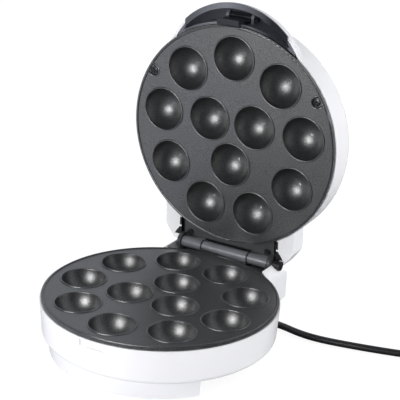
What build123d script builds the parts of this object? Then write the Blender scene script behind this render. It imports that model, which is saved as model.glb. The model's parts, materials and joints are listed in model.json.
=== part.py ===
from build123d import *
import os
from math import cos, pi, radians, sin, sqrt

# Round cake pop maker, lid standing open. Millimetres, +Z up, +X to the right, the hinge at the rear (+Y).
# The origin is on the surface it stands on, under the middle of the box round base and open lid.
# Both halves are drawn from their own cooking face: see the frames `base` and `lid` below.

os.makedirs("parts", exist_ok=True)

# ---------------------------------------------------------------- driving dimensions
# cooking plates
plate_radius = 100
plate_thickness = 2.7
closed_gap = 3.0              # between the two faces when the lid is down
ball_radius = 19.0            # of the ball baked between two closed cups
cup_wall = 2.0
cup_bead = 0.8                # half-round bead round each cup
rim_bead = 0.9
rim_bead_inset = 1.6
outer_ring_inset = 28.8       # of the outer cups' centres, from the plates' edge
outer_ring_radius = plate_radius - outer_ring_inset
outer_ring_cups = 9
inner_ring_radius = 25.9
inner_ring_cups = 3

# heating
element_ring_radius = 48.5
element_radius = 3.25
element_depth = 10.5          # centre line, from the cooking face
element_end_half_angle = 14
element_bend = 6.0
element_leg = 10.5
clip_thickness = 1.2
leg_hole_radius = element_radius + 1.2
shield_depth = 24.0
shield_thickness = 0.8
shield_inset = 17.5           # of the shields' edge, from the plates' edge
shield_radius = plate_radius - shield_inset
shield_lip = 3.5

# base
pad_height = 1.5
foot_height = 15.0
drum_height = 33.0
shell_margin = 1.0            # of the shells beyond the plates' edge
shell_radius = plate_radius + shell_margin
drum_taper = 1.5              # from the rim to where the bottom corner starts
drum_foot_radius = shell_radius - drum_taper
drum_corner = 4.5
shell_wall = 2.5
wall_bite = 0.6               # how far ribs run into a wall
cover_thickness = 2.2
front_foot_half_angle = 53
front_foot_width = 41.5       # from its inner wall to the drum's wall above
front_foot_inner_radius = drum_foot_radius - front_foot_width
foot_draft = 2.0              # taper of the front foot's outer wall
foot_end_slope = 1.2          # degrees taken off each end for a millimetre of wall
rear_foot_half_width = 26.0
rear_foot_inset = 9.5         # of its back, from the drum's wall
rear_foot_length = 32.0
rear_foot_back = drum_foot_radius - rear_foot_inset
rear_foot_front = rear_foot_back - rear_foot_length

# hinge
hinge_overhang = 9.6          # hinge axis beyond the plates' edge
hinge_reach = plate_radius + hinge_overhang
hinge_rise = 0.9              # hinge axis above the base plate's face
open_angle = 88.2
barrel_radius = 5.0
pin_radius = 2.5
pin_clearance = 0.05
centre_barrel_half = 23.5
knuckle_gap = 0.5
knuckle_end = 44.5
ear_end = 48.0
ear_radius = 7.2
clip_gap = 0.1
clip_width = 0.7
bracket_thickness = 2.0
bracket_length = 21.4         # from the brackets' inner edge to the hinge axis
bracket_start = hinge_reach - bracket_length
bracket_half_width = 46.5
hinge_screw_x = 40.2
hinge_screw_inset = 8.2       # of the lid bracket's screws, from the hinge axis
hinge_screw_y = hinge_reach - hinge_screw_inset

# hinge housings
hump_half_width = 57.0
hump_overhang = 12.4          # of its rear, behind the hinge axis
hump_rear = hinge_reach + hump_overhang
hump_top = 2.5
hump_end_radius = 12.0
hump_edge_radius = 1.5
slope_before_axis = 2.6       # where the hump's top falls away, in front of the hinge axis
slope_after_axis = 2.4        # and where its rear slope starts, behind it
slope_start_drop = 3.5
hump_rear_drop = 8.0
trough_radius = 8.0
housing_half_width = 66.0
housing_narrow_half_width = 57.0
housing_overhang = 0.9        # of its end, behind the hinge axis
housing_slope = 13.0          # length of its slanting ends
housing_end = hinge_reach + housing_overhang
housing_shoulder = housing_end - housing_slope
housing_face = 1.0
housing_back = 24.0
housing_wall = 2.2
housing_roof_fillet = 6.0
housing_corner_fillet = 3.0

# lid
lid_wall_depth = 24.5
lid_corner = 9.0
lid_crown = 37.0
nose_radius = 70.2
nose_inset = 50.7             # of its axis, from the plates' edge
nose_centre = plate_radius - nose_inset
nose_lip_depth = 2.0
nose_crest_radius = 48.0
nose_crest_depth = 31.0
liner_wall = 2.0
liner_clearance = 0.3
liner_gap = 0.6               # between the plate's edge and the grip liner
liner_inner_radius = plate_radius + liner_gap
liner_roof_depth = 24.0
liner_half_width = 57.0
grip_lip_half_width = 50.0

# latch
latch_half_width = 10.5
latch_thickness = 2.2
latch_reach = 6.0             # of the latch's pivot beyond the plates' edge
latch_pivot_y = -(plate_radius + latch_reach)
latch_pivot_depth = 12.0
latch_play = 1.2
latch_tip_depth = -13.0
latch_hook_reach = 2.7
latch_gap = 0.5               # between the released hook and the drum
latch_ear_gap = 0.4
latch_ear_width = 2.6
latch_ear_radius = 4.0
latch_pin_radius = 1.5
latch_barrel_radius = 3.0
notch_top = 4.0
notch_bottom = 10.0
notch_half_width = 11.5

# fasteners
screw_radius = 1.5
screw_clearance = 0.05
screw_head_radius = 2.9
screw_head_height = 1.7
screw_length = 8.0
boss_length = 16.0
pilot_depth = 12.0
shank_play = 0.5              # between a screw's tip and the end of its hole
boss_radius = 3.6
fit_gap = 0.3

# indicators
lens_radius = 3.0
lens_spacing = 18.0
lens_inset = 40.0             # of the lenses, from the plates' edge
lens_y = -(plate_radius - lens_inset)
lens_stand = 0.9

# cord
cord_radius = 3.0
relief_length = 24.0
relief_base_radius = 5.0
relief_tip_radius = 3.7
coil_turn_radius = 33.0
coil_band = 12.4
plug_length = 46.0

# ---------------------------------------------------------------- frames
front_angle = -90
rear_angle = 90
plate_height = pad_height + foot_height + drum_height
hinge_height = plate_height + hinge_rise
lid_drop = closed_gap - hinge_rise
pin_half_length = ear_end + clip_gap + clip_width
hinge_room = pin_half_length + knuckle_gap
open_sin = sin(radians(open_angle))
open_cos = cos(radians(open_angle))
lid_centre_reach = hinge_reach * (1 - open_cos) + lid_drop * open_sin
lid_centre_rise = hinge_rise + hinge_reach * open_sin + lid_drop * open_cos
drum_y = (shell_radius - lid_centre_reach - lid_crown) / 2

# x across, y towards the hinge, z from the cooking face into the housing
base = Plane(origin=(0, drum_y, plate_height), x_dir=(-1, 0, 0), z_dir=(0, 0, -1))
lid = Plane(
    origin=(0, drum_y + lid_centre_reach, plate_height + lid_centre_rise),
    x_dir=(1, 0, 0),
    z_dir=(0, open_sin, open_cos),
)
ground = Plane(origin=(0, drum_y, 0))
# side views: first coordinate towards the hinge, second one up (base) or into the housing (lid)
base_side = Plane(origin=base.origin, x_dir=(0, 1, 0), z_dir=(1, 0, 0))
lid_side = Plane(origin=lid.origin, x_dir=lid.y_dir, z_dir=(1, 0, 0))
hinge_side = Plane(origin=(0, drum_y + hinge_reach, hinge_height), x_dir=(0, 1, 0), z_dir=(1, 0, 0))


def spin(frame):
    return Axis(frame.origin, frame.z_dir)


def radial_plane(frame, angle=0):
    """Half section through the frame's axis: first coordinate the radius, second one the depth."""
    radial = frame.x_dir * cos(radians(angle)) + frame.y_dir * sin(radians(angle))
    return Plane(origin=frame.origin, x_dir=radial, z_dir=radial.cross(frame.z_dir))


def polar(radius, angle):
    return (radius * cos(radians(angle)), radius * sin(radians(angle)))


cup_pitch = 360 / outer_ring_cups


def between_cups(radius, *gaps):
    """Points at one radius in the spaces between outer cups, counted from the front."""
    return [polar(radius, front_angle + (gap + 0.5) * cup_pitch) for gap in gaps]


def posts(plane, points, radius, height, mode=Mode.ADD):
    with BuildSketch(plane) as outline:
        with Locations(*points):
            Circle(radius)
    extrude(outline.sketch, amount=height, mode=mode)


def screws(head_plane, points, length, head_height=screw_head_height):
    """Pan head screws: the head stands behind the plane, the shank goes forward from it."""
    posts(head_plane, points, screw_head_radius, -head_height)
    posts(head_plane, points, screw_radius, length)


# ---------------------------------------------------------------- cooking plates
fixing_inset = 12.0
fixing_radius = plate_radius - fixing_inset
fixing_gaps = (1, 3, 5, 7)
fixing_boss_depth = 16.0
lug_thickness = 2.5
shield_fixing_inset = 6.5
shield_fixing_radius = shield_radius - shield_fixing_inset
shield_gaps = (0, 3, 6)
clip_post_inset = 9.0
clip_post_radius = element_ring_radius - clip_post_inset
clip_angles = [front_angle + 120 * turn for turn in range(3)]
clip_depth = element_depth + element_radius
face_screw_inset = 6.7
face_screw_radius = plate_radius - face_screw_inset
face_screw_gaps = (1, 7)
face_recess_radius = 4.0
face_recess_depth = 1.4
head_sink = 0.1
pilot_radius = screw_radius + screw_clearance


def cup_spheres(frame, radius, mode):
    with Locations(frame.offset(-closed_gap / 2)):
        with PolarLocations(outer_ring_radius, outer_ring_cups, start_angle=front_angle):
            Sphere(radius, mode=mode)
        with PolarLocations(inner_ring_radius, inner_ring_cups, start_angle=rear_angle):
            Sphere(radius, mode=mode)


def cup_beads(frame):
    rim = sqrt(ball_radius**2 - (closed_gap / 2) ** 2)
    with Locations(frame):
        with PolarLocations(outer_ring_radius, outer_ring_cups, start_angle=front_angle):
            Torus(rim + cup_bead, cup_bead)
        with PolarLocations(inner_ring_radius, inner_ring_cups, start_angle=rear_angle):
            Torus(rim + cup_bead, cup_bead)
        Torus(plate_radius - rim_bead_inset, rim_bead)


def cooking_plate(frame):
    """Disc with pressed cups, an annular seat for the element, and posts for clips and shield."""
    back = frame.offset(plate_thickness)
    cup_spheres(frame, ball_radius + cup_wall, Mode.ADD)
    with BuildSketch(frame) as disc:
        Circle(plate_radius)
    extrude(disc.sketch, amount=-2 * ball_radius, mode=Mode.SUBTRACT)
    extrude(disc.sketch, amount=plate_thickness)
    cup_beads(frame)
    with BuildSketch(back) as seat:
        Circle(element_ring_radius + element_radius * 0.7)
        Circle(element_ring_radius - element_radius * 0.7, mode=Mode.SUBTRACT)
    extrude(seat.sketch, amount=element_depth - element_radius - plate_thickness)
    clip_points = [polar(clip_post_radius, angle) for angle in clip_angles]
    shield_points = between_cups(shield_fixing_radius, *shield_gaps) + [(0, 0)]
    posts(back, clip_points, boss_radius, clip_depth - plate_thickness)
    posts(back, shield_points, boss_radius, shield_depth - plate_thickness)
    cup_spheres(frame, ball_radius, Mode.SUBTRACT)
    posts(frame.offset(clip_depth), clip_points, pilot_radius, -screw_length, Mode.SUBTRACT)
    posts(frame.offset(shield_depth), shield_points, pilot_radius, -screw_length, Mode.SUBTRACT)


with BuildPart() as lower_plate:
    cooking_plate(base)
    fixing_points = between_cups(fixing_radius, *fixing_gaps)
    posts(base.offset(plate_thickness), fixing_points, boss_radius, fixing_boss_depth - plate_thickness)
    posts(base.offset(fixing_boss_depth), fixing_points, pilot_radius, -screw_length, Mode.SUBTRACT)

with BuildPart() as upper_plate:
    cooking_plate(lid)
    face_points = between_cups(face_screw_radius, *face_screw_gaps)
    posts(lid, face_points, face_recess_radius, face_recess_depth, Mode.SUBTRACT)
    posts(lid, face_points, pilot_radius + screw_clearance, plate_thickness, Mode.SUBTRACT)


# ---------------------------------------------------------------- heating elements, clips and shields
def heating_element(frame):
    """Open tubular ring whose two ends turn away from the plate beside the rear cup."""

    def place(angle, along, depth):
        x, y = polar(element_ring_radius, angle)
        tangent_x, tangent_y = polar(along, angle + 90)
        return frame.from_local_coords(Vector(x + tangent_x, y + tangent_y, depth))

    first = rear_angle + element_end_half_angle
    last = rear_angle + 360 - element_end_half_angle
    bend = element_bend
    slack = bend * (1 - sqrt(0.5))
    leg_depth = element_depth + bend + element_leg
    with BuildLine() as path:
        Line(place(first, -bend, leg_depth), place(first, -bend, element_depth + bend))
        ThreePointArc(
            place(first, -bend, element_depth + bend),
            place(first, -bend + slack, element_depth + slack),
            place(first, 0, element_depth),
        )
        ThreePointArc(
            place(first, 0, element_depth),
            place(front_angle, 0, element_depth),
            place(last, 0, element_depth),
        )
        ThreePointArc(
            place(last, 0, element_depth),
            place(last, bend - slack, element_depth + slack),
            place(last, bend, element_depth + bend),
        )
        Line(place(last, bend, element_depth + bend), place(last, bend, leg_depth))
    with BuildSketch(Plane(origin=path.line @ 0, z_dir=path.line % 0)) as section:
        Circle(element_radius)
    sweep(section.sketch, path=path.line)


def element_leg_points():
    reach = element_ring_radius
    left = polar(reach, rear_angle + element_end_half_angle)
    step = polar(-element_bend, rear_angle + element_end_half_angle + 90)
    return [(left[0] + step[0], left[1] + step[1]), (-left[0] - step[0], left[1] + step[1])]


def element_clips(frame):
    """Flat straps across the ring, each screwed to its post on the plate."""
    inner = clip_post_radius - boss_radius
    outer = element_ring_radius + element_radius
    for angle in clip_angles:
        with BuildSketch(frame.offset(clip_depth)) as strap:
            with Locations(Location((0, 0, 0), (0, 0, angle))):
                with Locations(((inner + outer) / 2, 0)):
                    Rectangle(outer - inner, 2 * boss_radius)
            with Locations(polar(clip_post_radius, angle)):
                Circle(pilot_radius, mode=Mode.SUBTRACT)
        extrude(strap.sketch, amount=clip_thickness)


def heat_shield(frame):
    """Sheet dish behind the element, on the plate's posts."""
    with BuildSketch(frame.offset(shield_depth)) as dish:
        Circle(shield_radius)
        with Locations(*(between_cups(shield_fixing_radius, *shield_gaps) + [(0, 0)])):
            Circle(pilot_radius, mode=Mode.SUBTRACT)
        with Locations(*element_leg_points()):
            Circle(leg_hole_radius, mode=Mode.SUBTRACT)
    extrude(dish.sketch, amount=shield_thickness)
    with BuildSketch(frame.offset(shield_depth + shield_thickness)) as lip:
        Circle(shield_radius)
        Circle(shield_radius - shield_thickness, mode=Mode.SUBTRACT)
    extrude(lip.sketch, amount=-shield_lip - shield_thickness)


with BuildPart() as lower_heating_element:
    heating_element(base)
with BuildPart() as upper_heating_element:
    heating_element(lid)
with BuildPart() as lower_element_clips:
    element_clips(base)
with BuildPart() as upper_element_clips:
    element_clips(lid)
with BuildPart() as lower_heat_shield:
    heat_shield(base)
with BuildPart() as upper_heat_shield:
    heat_shield(lid)


def clip_screws(frame):
    points = [polar(clip_post_radius, angle) for angle in clip_angles]
    screws(flip(frame.offset(clip_depth + clip_thickness)), points_flipped(points), screw_length)


def flip(plane):
    """The same plane seen from behind: its z points back towards the cooking face."""
    return Plane(origin=plane.origin, x_dir=-plane.x_dir, z_dir=-plane.z_dir)


def points_flipped(points):
    return [(-x, y) for x, y in points]


def shield_screws(frame):
    points = between_cups(shield_fixing_radius, *shield_gaps) + [(0, 0)]
    screws(flip(frame.offset(shield_depth + shield_thickness)), points_flipped(points), screw_length)


with BuildPart() as lower_clip_screws:
    clip_screws(base)
with BuildPart() as upper_clip_screws:
    clip_screws(lid)
with BuildPart() as lower_shield_screws:
    shield_screws(base)
with BuildPart() as upper_shield_screws:
    shield_screws(lid)

with BuildPart() as lower_plate_screws:
    screws(
        flip(base.offset(fixing_boss_depth + lug_thickness)),
        points_flipped(between_cups(fixing_radius, *fixing_gaps)),
        screw_length + lug_thickness - shank_play,
    )
with BuildPart() as upper_plate_screws:
    screws(
        lid.offset(face_recess_depth),
        between_cups(face_screw_radius, *face_screw_gaps),
        screw_length + plate_thickness,
        head_height=face_recess_depth - head_sink,
    )

# ---------------------------------------------------------------- base shell
cover_post_angles = (front_angle - 120, front_angle - 75, front_angle + 75, front_angle + 120)
cover_post_inset = 11.0
cover_post_radius = drum_foot_radius - cover_post_inset
cover_post_top = 20.0
bracket_seat_depth = 6.6      # underside of the base bracket, below the base plate's face
base_screw_x = 34.0
base_screw_inset = 17.6
base_screw_y = hinge_reach - base_screw_inset
base_hinge_points = [(base_screw_x, base_screw_y), (-base_screw_x, base_screw_y)]
lead_turn = 32.6              # of the leads' bend, from the hinge axis
lead_turn_y = hinge_reach - lead_turn
lead_wall_way = 15.0          # length of the hole through the drum's wall
lead_depth = 28.5
lead_radius = 1.8
lead_x = 52.4
lead_guard_radius = 4.2
lead_guard_clearance = 0.4
lead_guard_middle = 53.1
lead_guard_end = 56.5
notch_depth = 2.4
notch_floor = shell_radius - notch_depth
notch_wall = 2.4


def drum_wall(inset=0.0):
    """Outline of the drum, from the plate's underside down to the bottom edge."""
    foot_start = drum_height - drum_corner
    with BuildLine() as outline:
        top = Line((0, plate_thickness), (shell_radius - inset, plate_thickness))
        side = Line(top @ 1, (drum_foot_radius - inset, foot_start))
        corner = TangentArc(side @ 1, (drum_foot_radius - drum_corner - inset, drum_height), tangent=side % 1)
        bottom = Line(corner @ 1, (0, drum_height))
        Line(bottom @ 1, top @ 0)
    make_face(outline.edges())


def hump(inset=0.0):
    """Housing that carries the hinge behind the drum, drawn from the side and trimmed from the rear."""
    low = -drum_height - inset
    top = hump_top - inset
    rear = hump_rear - inset
    with BuildLine() as outline:
        FilletPolyline(
            (outer_ring_radius, low),
            (outer_ring_radius, top),
            (hinge_reach - slope_before_axis - inset, top),
            (hinge_reach + slope_after_axis - inset, -slope_start_drop - inset),
            (rear, -hump_rear_drop - inset),
            (rear, low),
            radius=hump_edge_radius,
            close=True,
        )
    with BuildSketch(base_side) as side_view:
        make_face(outline.edges())
    extrude(side_view.sketch, amount=hump_half_width - inset, both=True)
    with BuildSketch(Plane(origin=base.origin, x_dir=(1, 0, 0), z_dir=(0, -1, 0))) as rear_view:
        with Locations((0, top)):
            RectangleRounded(
                2 * (hump_half_width - inset),
                4 * drum_height,
                hump_end_radius - inset,
                align=(Align.CENTER, Align.MAX),
            )
    extrude(rear_view.sketch, amount=-2 * hump_rear, mode=Mode.INTERSECT)


with BuildPart() as hump_outer:
    hump()
with BuildPart() as hump_inner:
    hump(housing_wall)
    with BuildSketch(hinge_side):
        Circle(trough_radius + housing_wall)
    extrude(amount=hinge_room + housing_wall, both=True, mode=Mode.SUBTRACT)
    with BuildSketch(base.offset(-hump_top)):
        Circle(shell_radius - wall_bite)
    extrude(amount=2 * drum_height, mode=Mode.SUBTRACT)
    with BuildSketch(base_side):
        with Locations((0, -bracket_seat_depth - housing_wall)):
            Rectangle(2 * hinge_reach, drum_height, align=(Align.MIN, Align.MIN))
    extrude(amount=hinge_room + housing_wall, both=True, mode=Mode.SUBTRACT)

with BuildPart() as base_shell:
    add(hump_outer.part)
    with BuildSketch(base):
        Circle(shell_radius - wall_bite)
    extrude(amount=drum_height, mode=Mode.SUBTRACT)
    add(hump_inner.part, mode=Mode.SUBTRACT)
    with BuildSketch(radial_plane(base)):
        drum_wall()
    revolve(axis=spin(base))
    with BuildSketch(radial_plane(base)):
        drum_wall(shell_wall)
    revolve(axis=spin(base), mode=Mode.SUBTRACT)
    with BuildSketch(base.offset(plate_thickness)):
        Circle(shell_radius)
    extrude(amount=-plate_thickness - 2 * hump_top, mode=Mode.SUBTRACT)
    # lugs under the plate's posts, and posts for the bottom cover
    lug_plane = base.offset(fixing_boss_depth)
    lug_reach = shell_radius - shell_wall / 2 - fixing_radius
    for angle in [front_angle + (gap + 0.5) * cup_pitch for gap in fixing_gaps]:
        with BuildSketch(lug_plane):
            with Locations(polar(fixing_radius, angle)):
                Circle(boss_radius + 1)
            with Locations(Location((0, 0, 0), (0, 0, angle))):
                with Locations((fixing_radius, 0)):
                    Rectangle(lug_reach, 2 * boss_radius, align=(Align.MIN, Align.CENTER))
            with Locations(polar(fixing_radius, angle)):
                Circle(pilot_radius + screw_clearance, mode=Mode.SUBTRACT)
        extrude(amount=lug_thickness)
    post_height = drum_height - cover_thickness - cover_post_top
    rib_reach = drum_foot_radius - shell_wall - cover_post_radius + wall_bite
    for angle in cover_post_angles:
        with BuildSketch(base.offset(cover_post_top)):
            with Locations(polar(cover_post_radius, angle)):
                Circle(boss_radius)
            with Locations(Location((0, 0, 0), (0, 0, angle))):
                with Locations((cover_post_radius, 0)):
                    Rectangle(rib_reach, shell_wall, align=(Align.MIN, Align.CENTER))
            with Locations(polar(cover_post_radius, angle)):
                Circle(pilot_radius, mode=Mode.SUBTRACT)
        extrude(amount=post_height)
    # seat and posts of the hinge bracket
    bracket_seat = base.offset(bracket_seat_depth)
    posts(bracket_seat, base_hinge_points, boss_radius, boss_length)
    posts(bracket_seat, base_hinge_points, pilot_radius, pilot_depth, Mode.SUBTRACT)
    with BuildSketch(base_side):
        with Locations((outer_ring_radius, -bracket_seat_depth)):
            Rectangle(hinge_reach - outer_ring_radius, 2 * bracket_seat_depth, align=(Align.MIN, Align.MIN))
    extrude(amount=hinge_room, both=True, mode=Mode.SUBTRACT)
    with BuildSketch(hinge_side):
        Circle(trough_radius)
    extrude(amount=hinge_room, both=True, mode=Mode.SUBTRACT)
    # cradle of the lead guards on the right
    with BuildSketch(hinge_side.offset(ear_end)):
        Circle(lead_guard_radius + lead_guard_clearance)
    extrude(amount=lead_guard_middle - ear_end, mode=Mode.SUBTRACT)
    with BuildSketch(hinge_side.offset(lead_guard_middle)):
        Circle(lead_guard_radius + pin_clearance)
    extrude(amount=hump_half_width, mode=Mode.SUBTRACT)
    # latch notch in front, with a wall behind it
    with BuildSketch(base_side):
        with Locations((-notch_floor, -plate_thickness)):
            Rectangle(notch_wall, notch_bottom, align=(Align.MIN, Align.MAX))
    extrude(amount=notch_half_width + notch_wall, both=True)
    with BuildSketch(base_side):
        with Locations((-notch_floor, -(notch_top + notch_bottom) / 2)):
            Rectangle(2 * notch_wall, notch_bottom - notch_top, align=(Align.MAX, Align.CENTER))
    extrude(amount=notch_half_width, both=True, mode=Mode.SUBTRACT)
    # way through the drum's wall for the lid's leads
    lead_start = base.from_local_coords(Vector(-lead_x, lead_turn_y, lead_depth))
    with BuildSketch(Plane(origin=lead_start, z_dir=base.y_dir)):
        Circle(lead_radius + fit_gap)
    extrude(amount=lead_wall_way, mode=Mode.SUBTRACT)

# ---------------------------------------------------------------- bottom cover, feet and cord entry
cover_radius = drum_foot_radius - drum_corner - shell_wall - fit_gap
cover_top = drum_height - cover_thickness
foot_depth = drum_height + foot_height
relief_inset = 10.8           # of the cord's entry, from the rear foot's back
relief_y = rear_foot_back - relief_inset
relief_rise = 10.5            # of the cord's entry above the ground
relief_heading = 21.7
relief_dip = 11.8
relief_way = Vector(
    cos(radians(relief_heading)) * cos(radians(relief_dip)),
    sin(radians(relief_heading)) * cos(radians(relief_dip)),
    -sin(radians(relief_dip)),
)
relief_point = ground.from_local_coords(Vector(rear_foot_half_width, relief_y, relief_rise))
relief_plane = Plane(origin=relief_point, z_dir=relief_way)
relief_neck = 5.6
relief_flange_radius = 6.0
relief_flange = 1.5


def front_foot(inset, top_depth):
    """Ring sector under the front of the drum, its outer wall drawn in towards the ground."""
    bottom_depth = foot_depth - inset
    inner = front_foot_inner_radius + inset
    outer_top = drum_foot_radius - drum_corner - inset
    half_angle = front_foot_half_angle - foot_end_slope * inset
    with BuildSketch(radial_plane(base, front_angle - half_angle)) as profile:
        with BuildLine():
            Polyline(
                (inner, top_depth),
                (outer_top, top_depth),
                (outer_top - foot_draft, bottom_depth),
                (inner, bottom_depth),
                close=True,
            )
        make_face()
    return revolve(profile.sketch, axis=spin(base), revolution_arc=2 * half_angle, mode=Mode.PRIVATE)


def rear_foot(inset, top_depth):
    with BuildSketch(base.offset(top_depth)) as outline:
        with Locations((0, rear_foot_front + inset)):
            Rectangle(
                2 * (rear_foot_half_width - inset),
                rear_foot_back - rear_foot_front - 2 * inset,
                align=(Align.CENTER, Align.MIN),
            )
    return extrude(outline.sketch, amount=foot_depth - inset - top_depth, mode=Mode.PRIVATE)


cover_screw_points = [polar(cover_post_radius, angle) for angle in cover_post_angles]
pad_radius = 6.0
front_pad_inset = 23.5
front_pad_reach = drum_foot_radius - front_pad_inset
front_pad_angle = 38
rear_pad_x = 17.0
rear_pad_y = rear_foot_back - rear_foot_length / 2
front_pads = [polar(front_pad_reach, front_angle + turn) for turn in (front_pad_angle, -front_pad_angle)]
pad_points = front_pads + [(rear_pad_x, rear_pad_y), (-rear_pad_x, rear_pad_y)]

with BuildPart() as bottom_cover:
    with BuildSketch(base.offset(cover_top)):
        Circle(cover_radius)
    extrude(amount=cover_thickness)
    add(front_foot(0, drum_height))
    add(rear_foot(0, drum_height))
    add(front_foot(cover_thickness, drum_height), mode=Mode.SUBTRACT)
    with BuildSketch(base.offset(cover_top)):
        with Locations(*front_pads):
            Circle(2 * pad_radius)
    extrude(amount=cover_thickness, mode=Mode.SUBTRACT)
    add(rear_foot(cover_thickness, cover_top), mode=Mode.SUBTRACT)
    with BuildSketch(relief_plane.offset(-2 * relief_neck)):
        Circle(relief_base_radius + fit_gap)
    extrude(amount=3 * relief_neck, mode=Mode.SUBTRACT)
    screw_hole_radius = pilot_radius + screw_clearance
    posts(base.offset(cover_top), cover_screw_points, screw_hole_radius, cover_thickness, Mode.SUBTRACT)

with BuildPart() as bottom_cover_screws:
    screws(
        flip(base.offset(drum_height)),
        points_flipped(cover_screw_points),
        screw_length + cover_thickness - shank_play,
    )

with BuildPart() as rubber_feet:
    posts(base.offset(foot_depth), pad_points, pad_radius, pad_height)

with BuildPart() as strain_relief:
    with BuildSketch(radial_plane(relief_plane)):
        with BuildLine():
            Polyline(
                (0, -relief_neck - relief_flange),
                (relief_flange_radius, -relief_neck - relief_flange),
                (relief_flange_radius, -relief_neck),
                (relief_base_radius, -relief_neck),
                (relief_base_radius, 0),
                (relief_tip_radius, relief_length),
                (0, relief_length),
                close=True,
            )
        make_face()
    revolve(axis=spin(relief_plane))

# ---------------------------------------------------------------- hinge
barrel_gap = 0.8              # around the barrels, in the leaves
flange_top = -(bracket_seat_depth + hinge_rise - bracket_thickness)
flange_bottom = -(bracket_seat_depth + hinge_rise)
flange_start = bracket_start - hinge_reach
flange_length = -barrel_radius - barrel_gap - flange_start
bore_radius = pin_radius + pin_clearance
lid_hinge_points = [(hinge_screw_x, hinge_screw_y), (-hinge_screw_x, hinge_screw_y)]
leaf_depth = plate_thickness


def mirrored_span(sketch, near, far, mode=Mode.ADD):
    """The same side view made solid on both sides, from near to far."""
    for start, length in ((near, far - near), (-near, near - far)):
        extrude(sketch.moved(Location((start, 0, 0))), amount=length, mode=mode)


with BuildPart() as base_hinge_bracket:
    with BuildSketch(hinge_side):
        with Locations((flange_start, flange_bottom)):
            Rectangle(flange_length, bracket_thickness, align=(Align.MIN, Align.MIN))
    extrude(amount=knuckle_end - knuckle_gap, both=True)
    with BuildSketch(hinge_side):
        Circle(barrel_radius)
        with Locations((-barrel_radius - barrel_gap - 1, flange_bottom)):
            Rectangle(barrel_radius + barrel_gap + 3, -flange_bottom, align=(Align.MIN, Align.MIN))
        Circle(bore_radius, mode=Mode.SUBTRACT)
    extrude(amount=centre_barrel_half, both=True)
    with BuildSketch(hinge_side):
        with Locations((-barrel_radius - barrel_gap - 1.5, -barrel_radius + 0.6)):
            Rectangle(2.2, barrel_radius + 1, align=(Align.MIN, Align.MIN))
    extrude(amount=centre_barrel_half + 1, both=True, mode=Mode.SUBTRACT)
    posts(base, base_hinge_points, pilot_radius + screw_clearance, 2 * bracket_seat_depth, Mode.SUBTRACT)

with BuildPart() as base_hinge_screws:
    flange_face = base.offset(bracket_seat_depth - bracket_thickness)
    screws(flange_face, base_hinge_points, screw_length + bracket_thickness)

with BuildPart() as lid_hinge_bracket:
    with BuildSketch(lid_side):
        with Locations((bracket_start, leaf_depth)):
            Rectangle(hinge_reach - bracket_start, bracket_thickness, align=(Align.MIN, Align.MIN))
    extrude(amount=bracket_half_width, both=True)
    with BuildSketch(lid_side):
        with Locations((hinge_reach, -lid_drop)):
            Circle(barrel_radius)
        with Locations((hinge_reach - barrel_radius, -lid_drop)):
            Rectangle(barrel_radius, lid_drop + leaf_depth + bracket_thickness, align=(Align.MIN, Align.MIN))
    extrude(amount=knuckle_end, both=True)
    with BuildSketch(lid_side):
        with Locations((hinge_reach - barrel_radius - barrel_gap, -lid_drop - 2 * barrel_radius)):
            Rectangle(4 * barrel_radius, 4 * barrel_radius, align=(Align.MIN, Align.MIN))
    extrude(amount=centre_barrel_half + knuckle_gap, both=True, mode=Mode.SUBTRACT)
    with BuildSketch(lid_side, mode=Mode.PRIVATE) as ear:
        with Locations((hinge_reach, -lid_drop)):
            Circle(ear_radius)
        with Locations((hinge_reach - ear_radius, -lid_drop)):
            Rectangle(ear_radius, lid_drop + leaf_depth + bracket_thickness, align=(Align.MIN, Align.MIN))
    mirrored_span(ear.sketch, knuckle_end, ear_end)
    with BuildSketch(lid_side):
        with Locations((hinge_reach, -lid_drop)):
            Circle(bore_radius)
    extrude(amount=2 * ear_end, both=True, mode=Mode.SUBTRACT)
    posts(lid, lid_hinge_points, pilot_radius + screw_clearance, 2 * leaf_depth, Mode.SUBTRACT)

with BuildPart() as lid_hinge_screws:
    screws(lid.offset(leaf_depth), lid_hinge_points, screw_length + bracket_thickness)

with BuildPart() as hinge_pin:
    with BuildSketch(hinge_side):
        Circle(pin_radius)
    extrude(amount=pin_half_length, both=True)

with BuildPart() as pin_clips:
    with BuildSketch(hinge_side, mode=Mode.PRIVATE) as washer:
        Circle(pin_radius * 1.7)
        Circle(bore_radius, mode=Mode.SUBTRACT)
    mirrored_span(washer.sketch, ear_end + clip_gap, ear_end + clip_gap + clip_width)

# black guards where the lid's leads cross the hinge, on its axis
guard_gap = 0.3
with BuildPart() as base_lead_guard:
    with BuildSketch(hinge_side.offset(lead_guard_middle + guard_gap)):
        Circle(lead_guard_radius)
    extrude(amount=lead_guard_end - lead_guard_middle - guard_gap)

guard_arm = 3.0
guard_arm_depth = 7.0
guard_arm_y = hinge_reach - lead_guard_radius + 0.3
lid_guard_start = pin_half_length + guard_gap
with BuildPart() as lid_lead_guard:
    with BuildSketch(hinge_side.offset(lid_guard_start)):
        Circle(lead_guard_radius)
    extrude(amount=lead_guard_middle - lid_guard_start)
    with BuildSketch(lid_side.offset(lid_guard_start)):
        with Locations((guard_arm_y, -lid_drop)):
            Rectangle(guard_arm, lid_drop + guard_arm_depth, align=(Align.MIN, Align.MIN))
    extrude(amount=lead_guard_middle - lid_guard_start)

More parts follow.
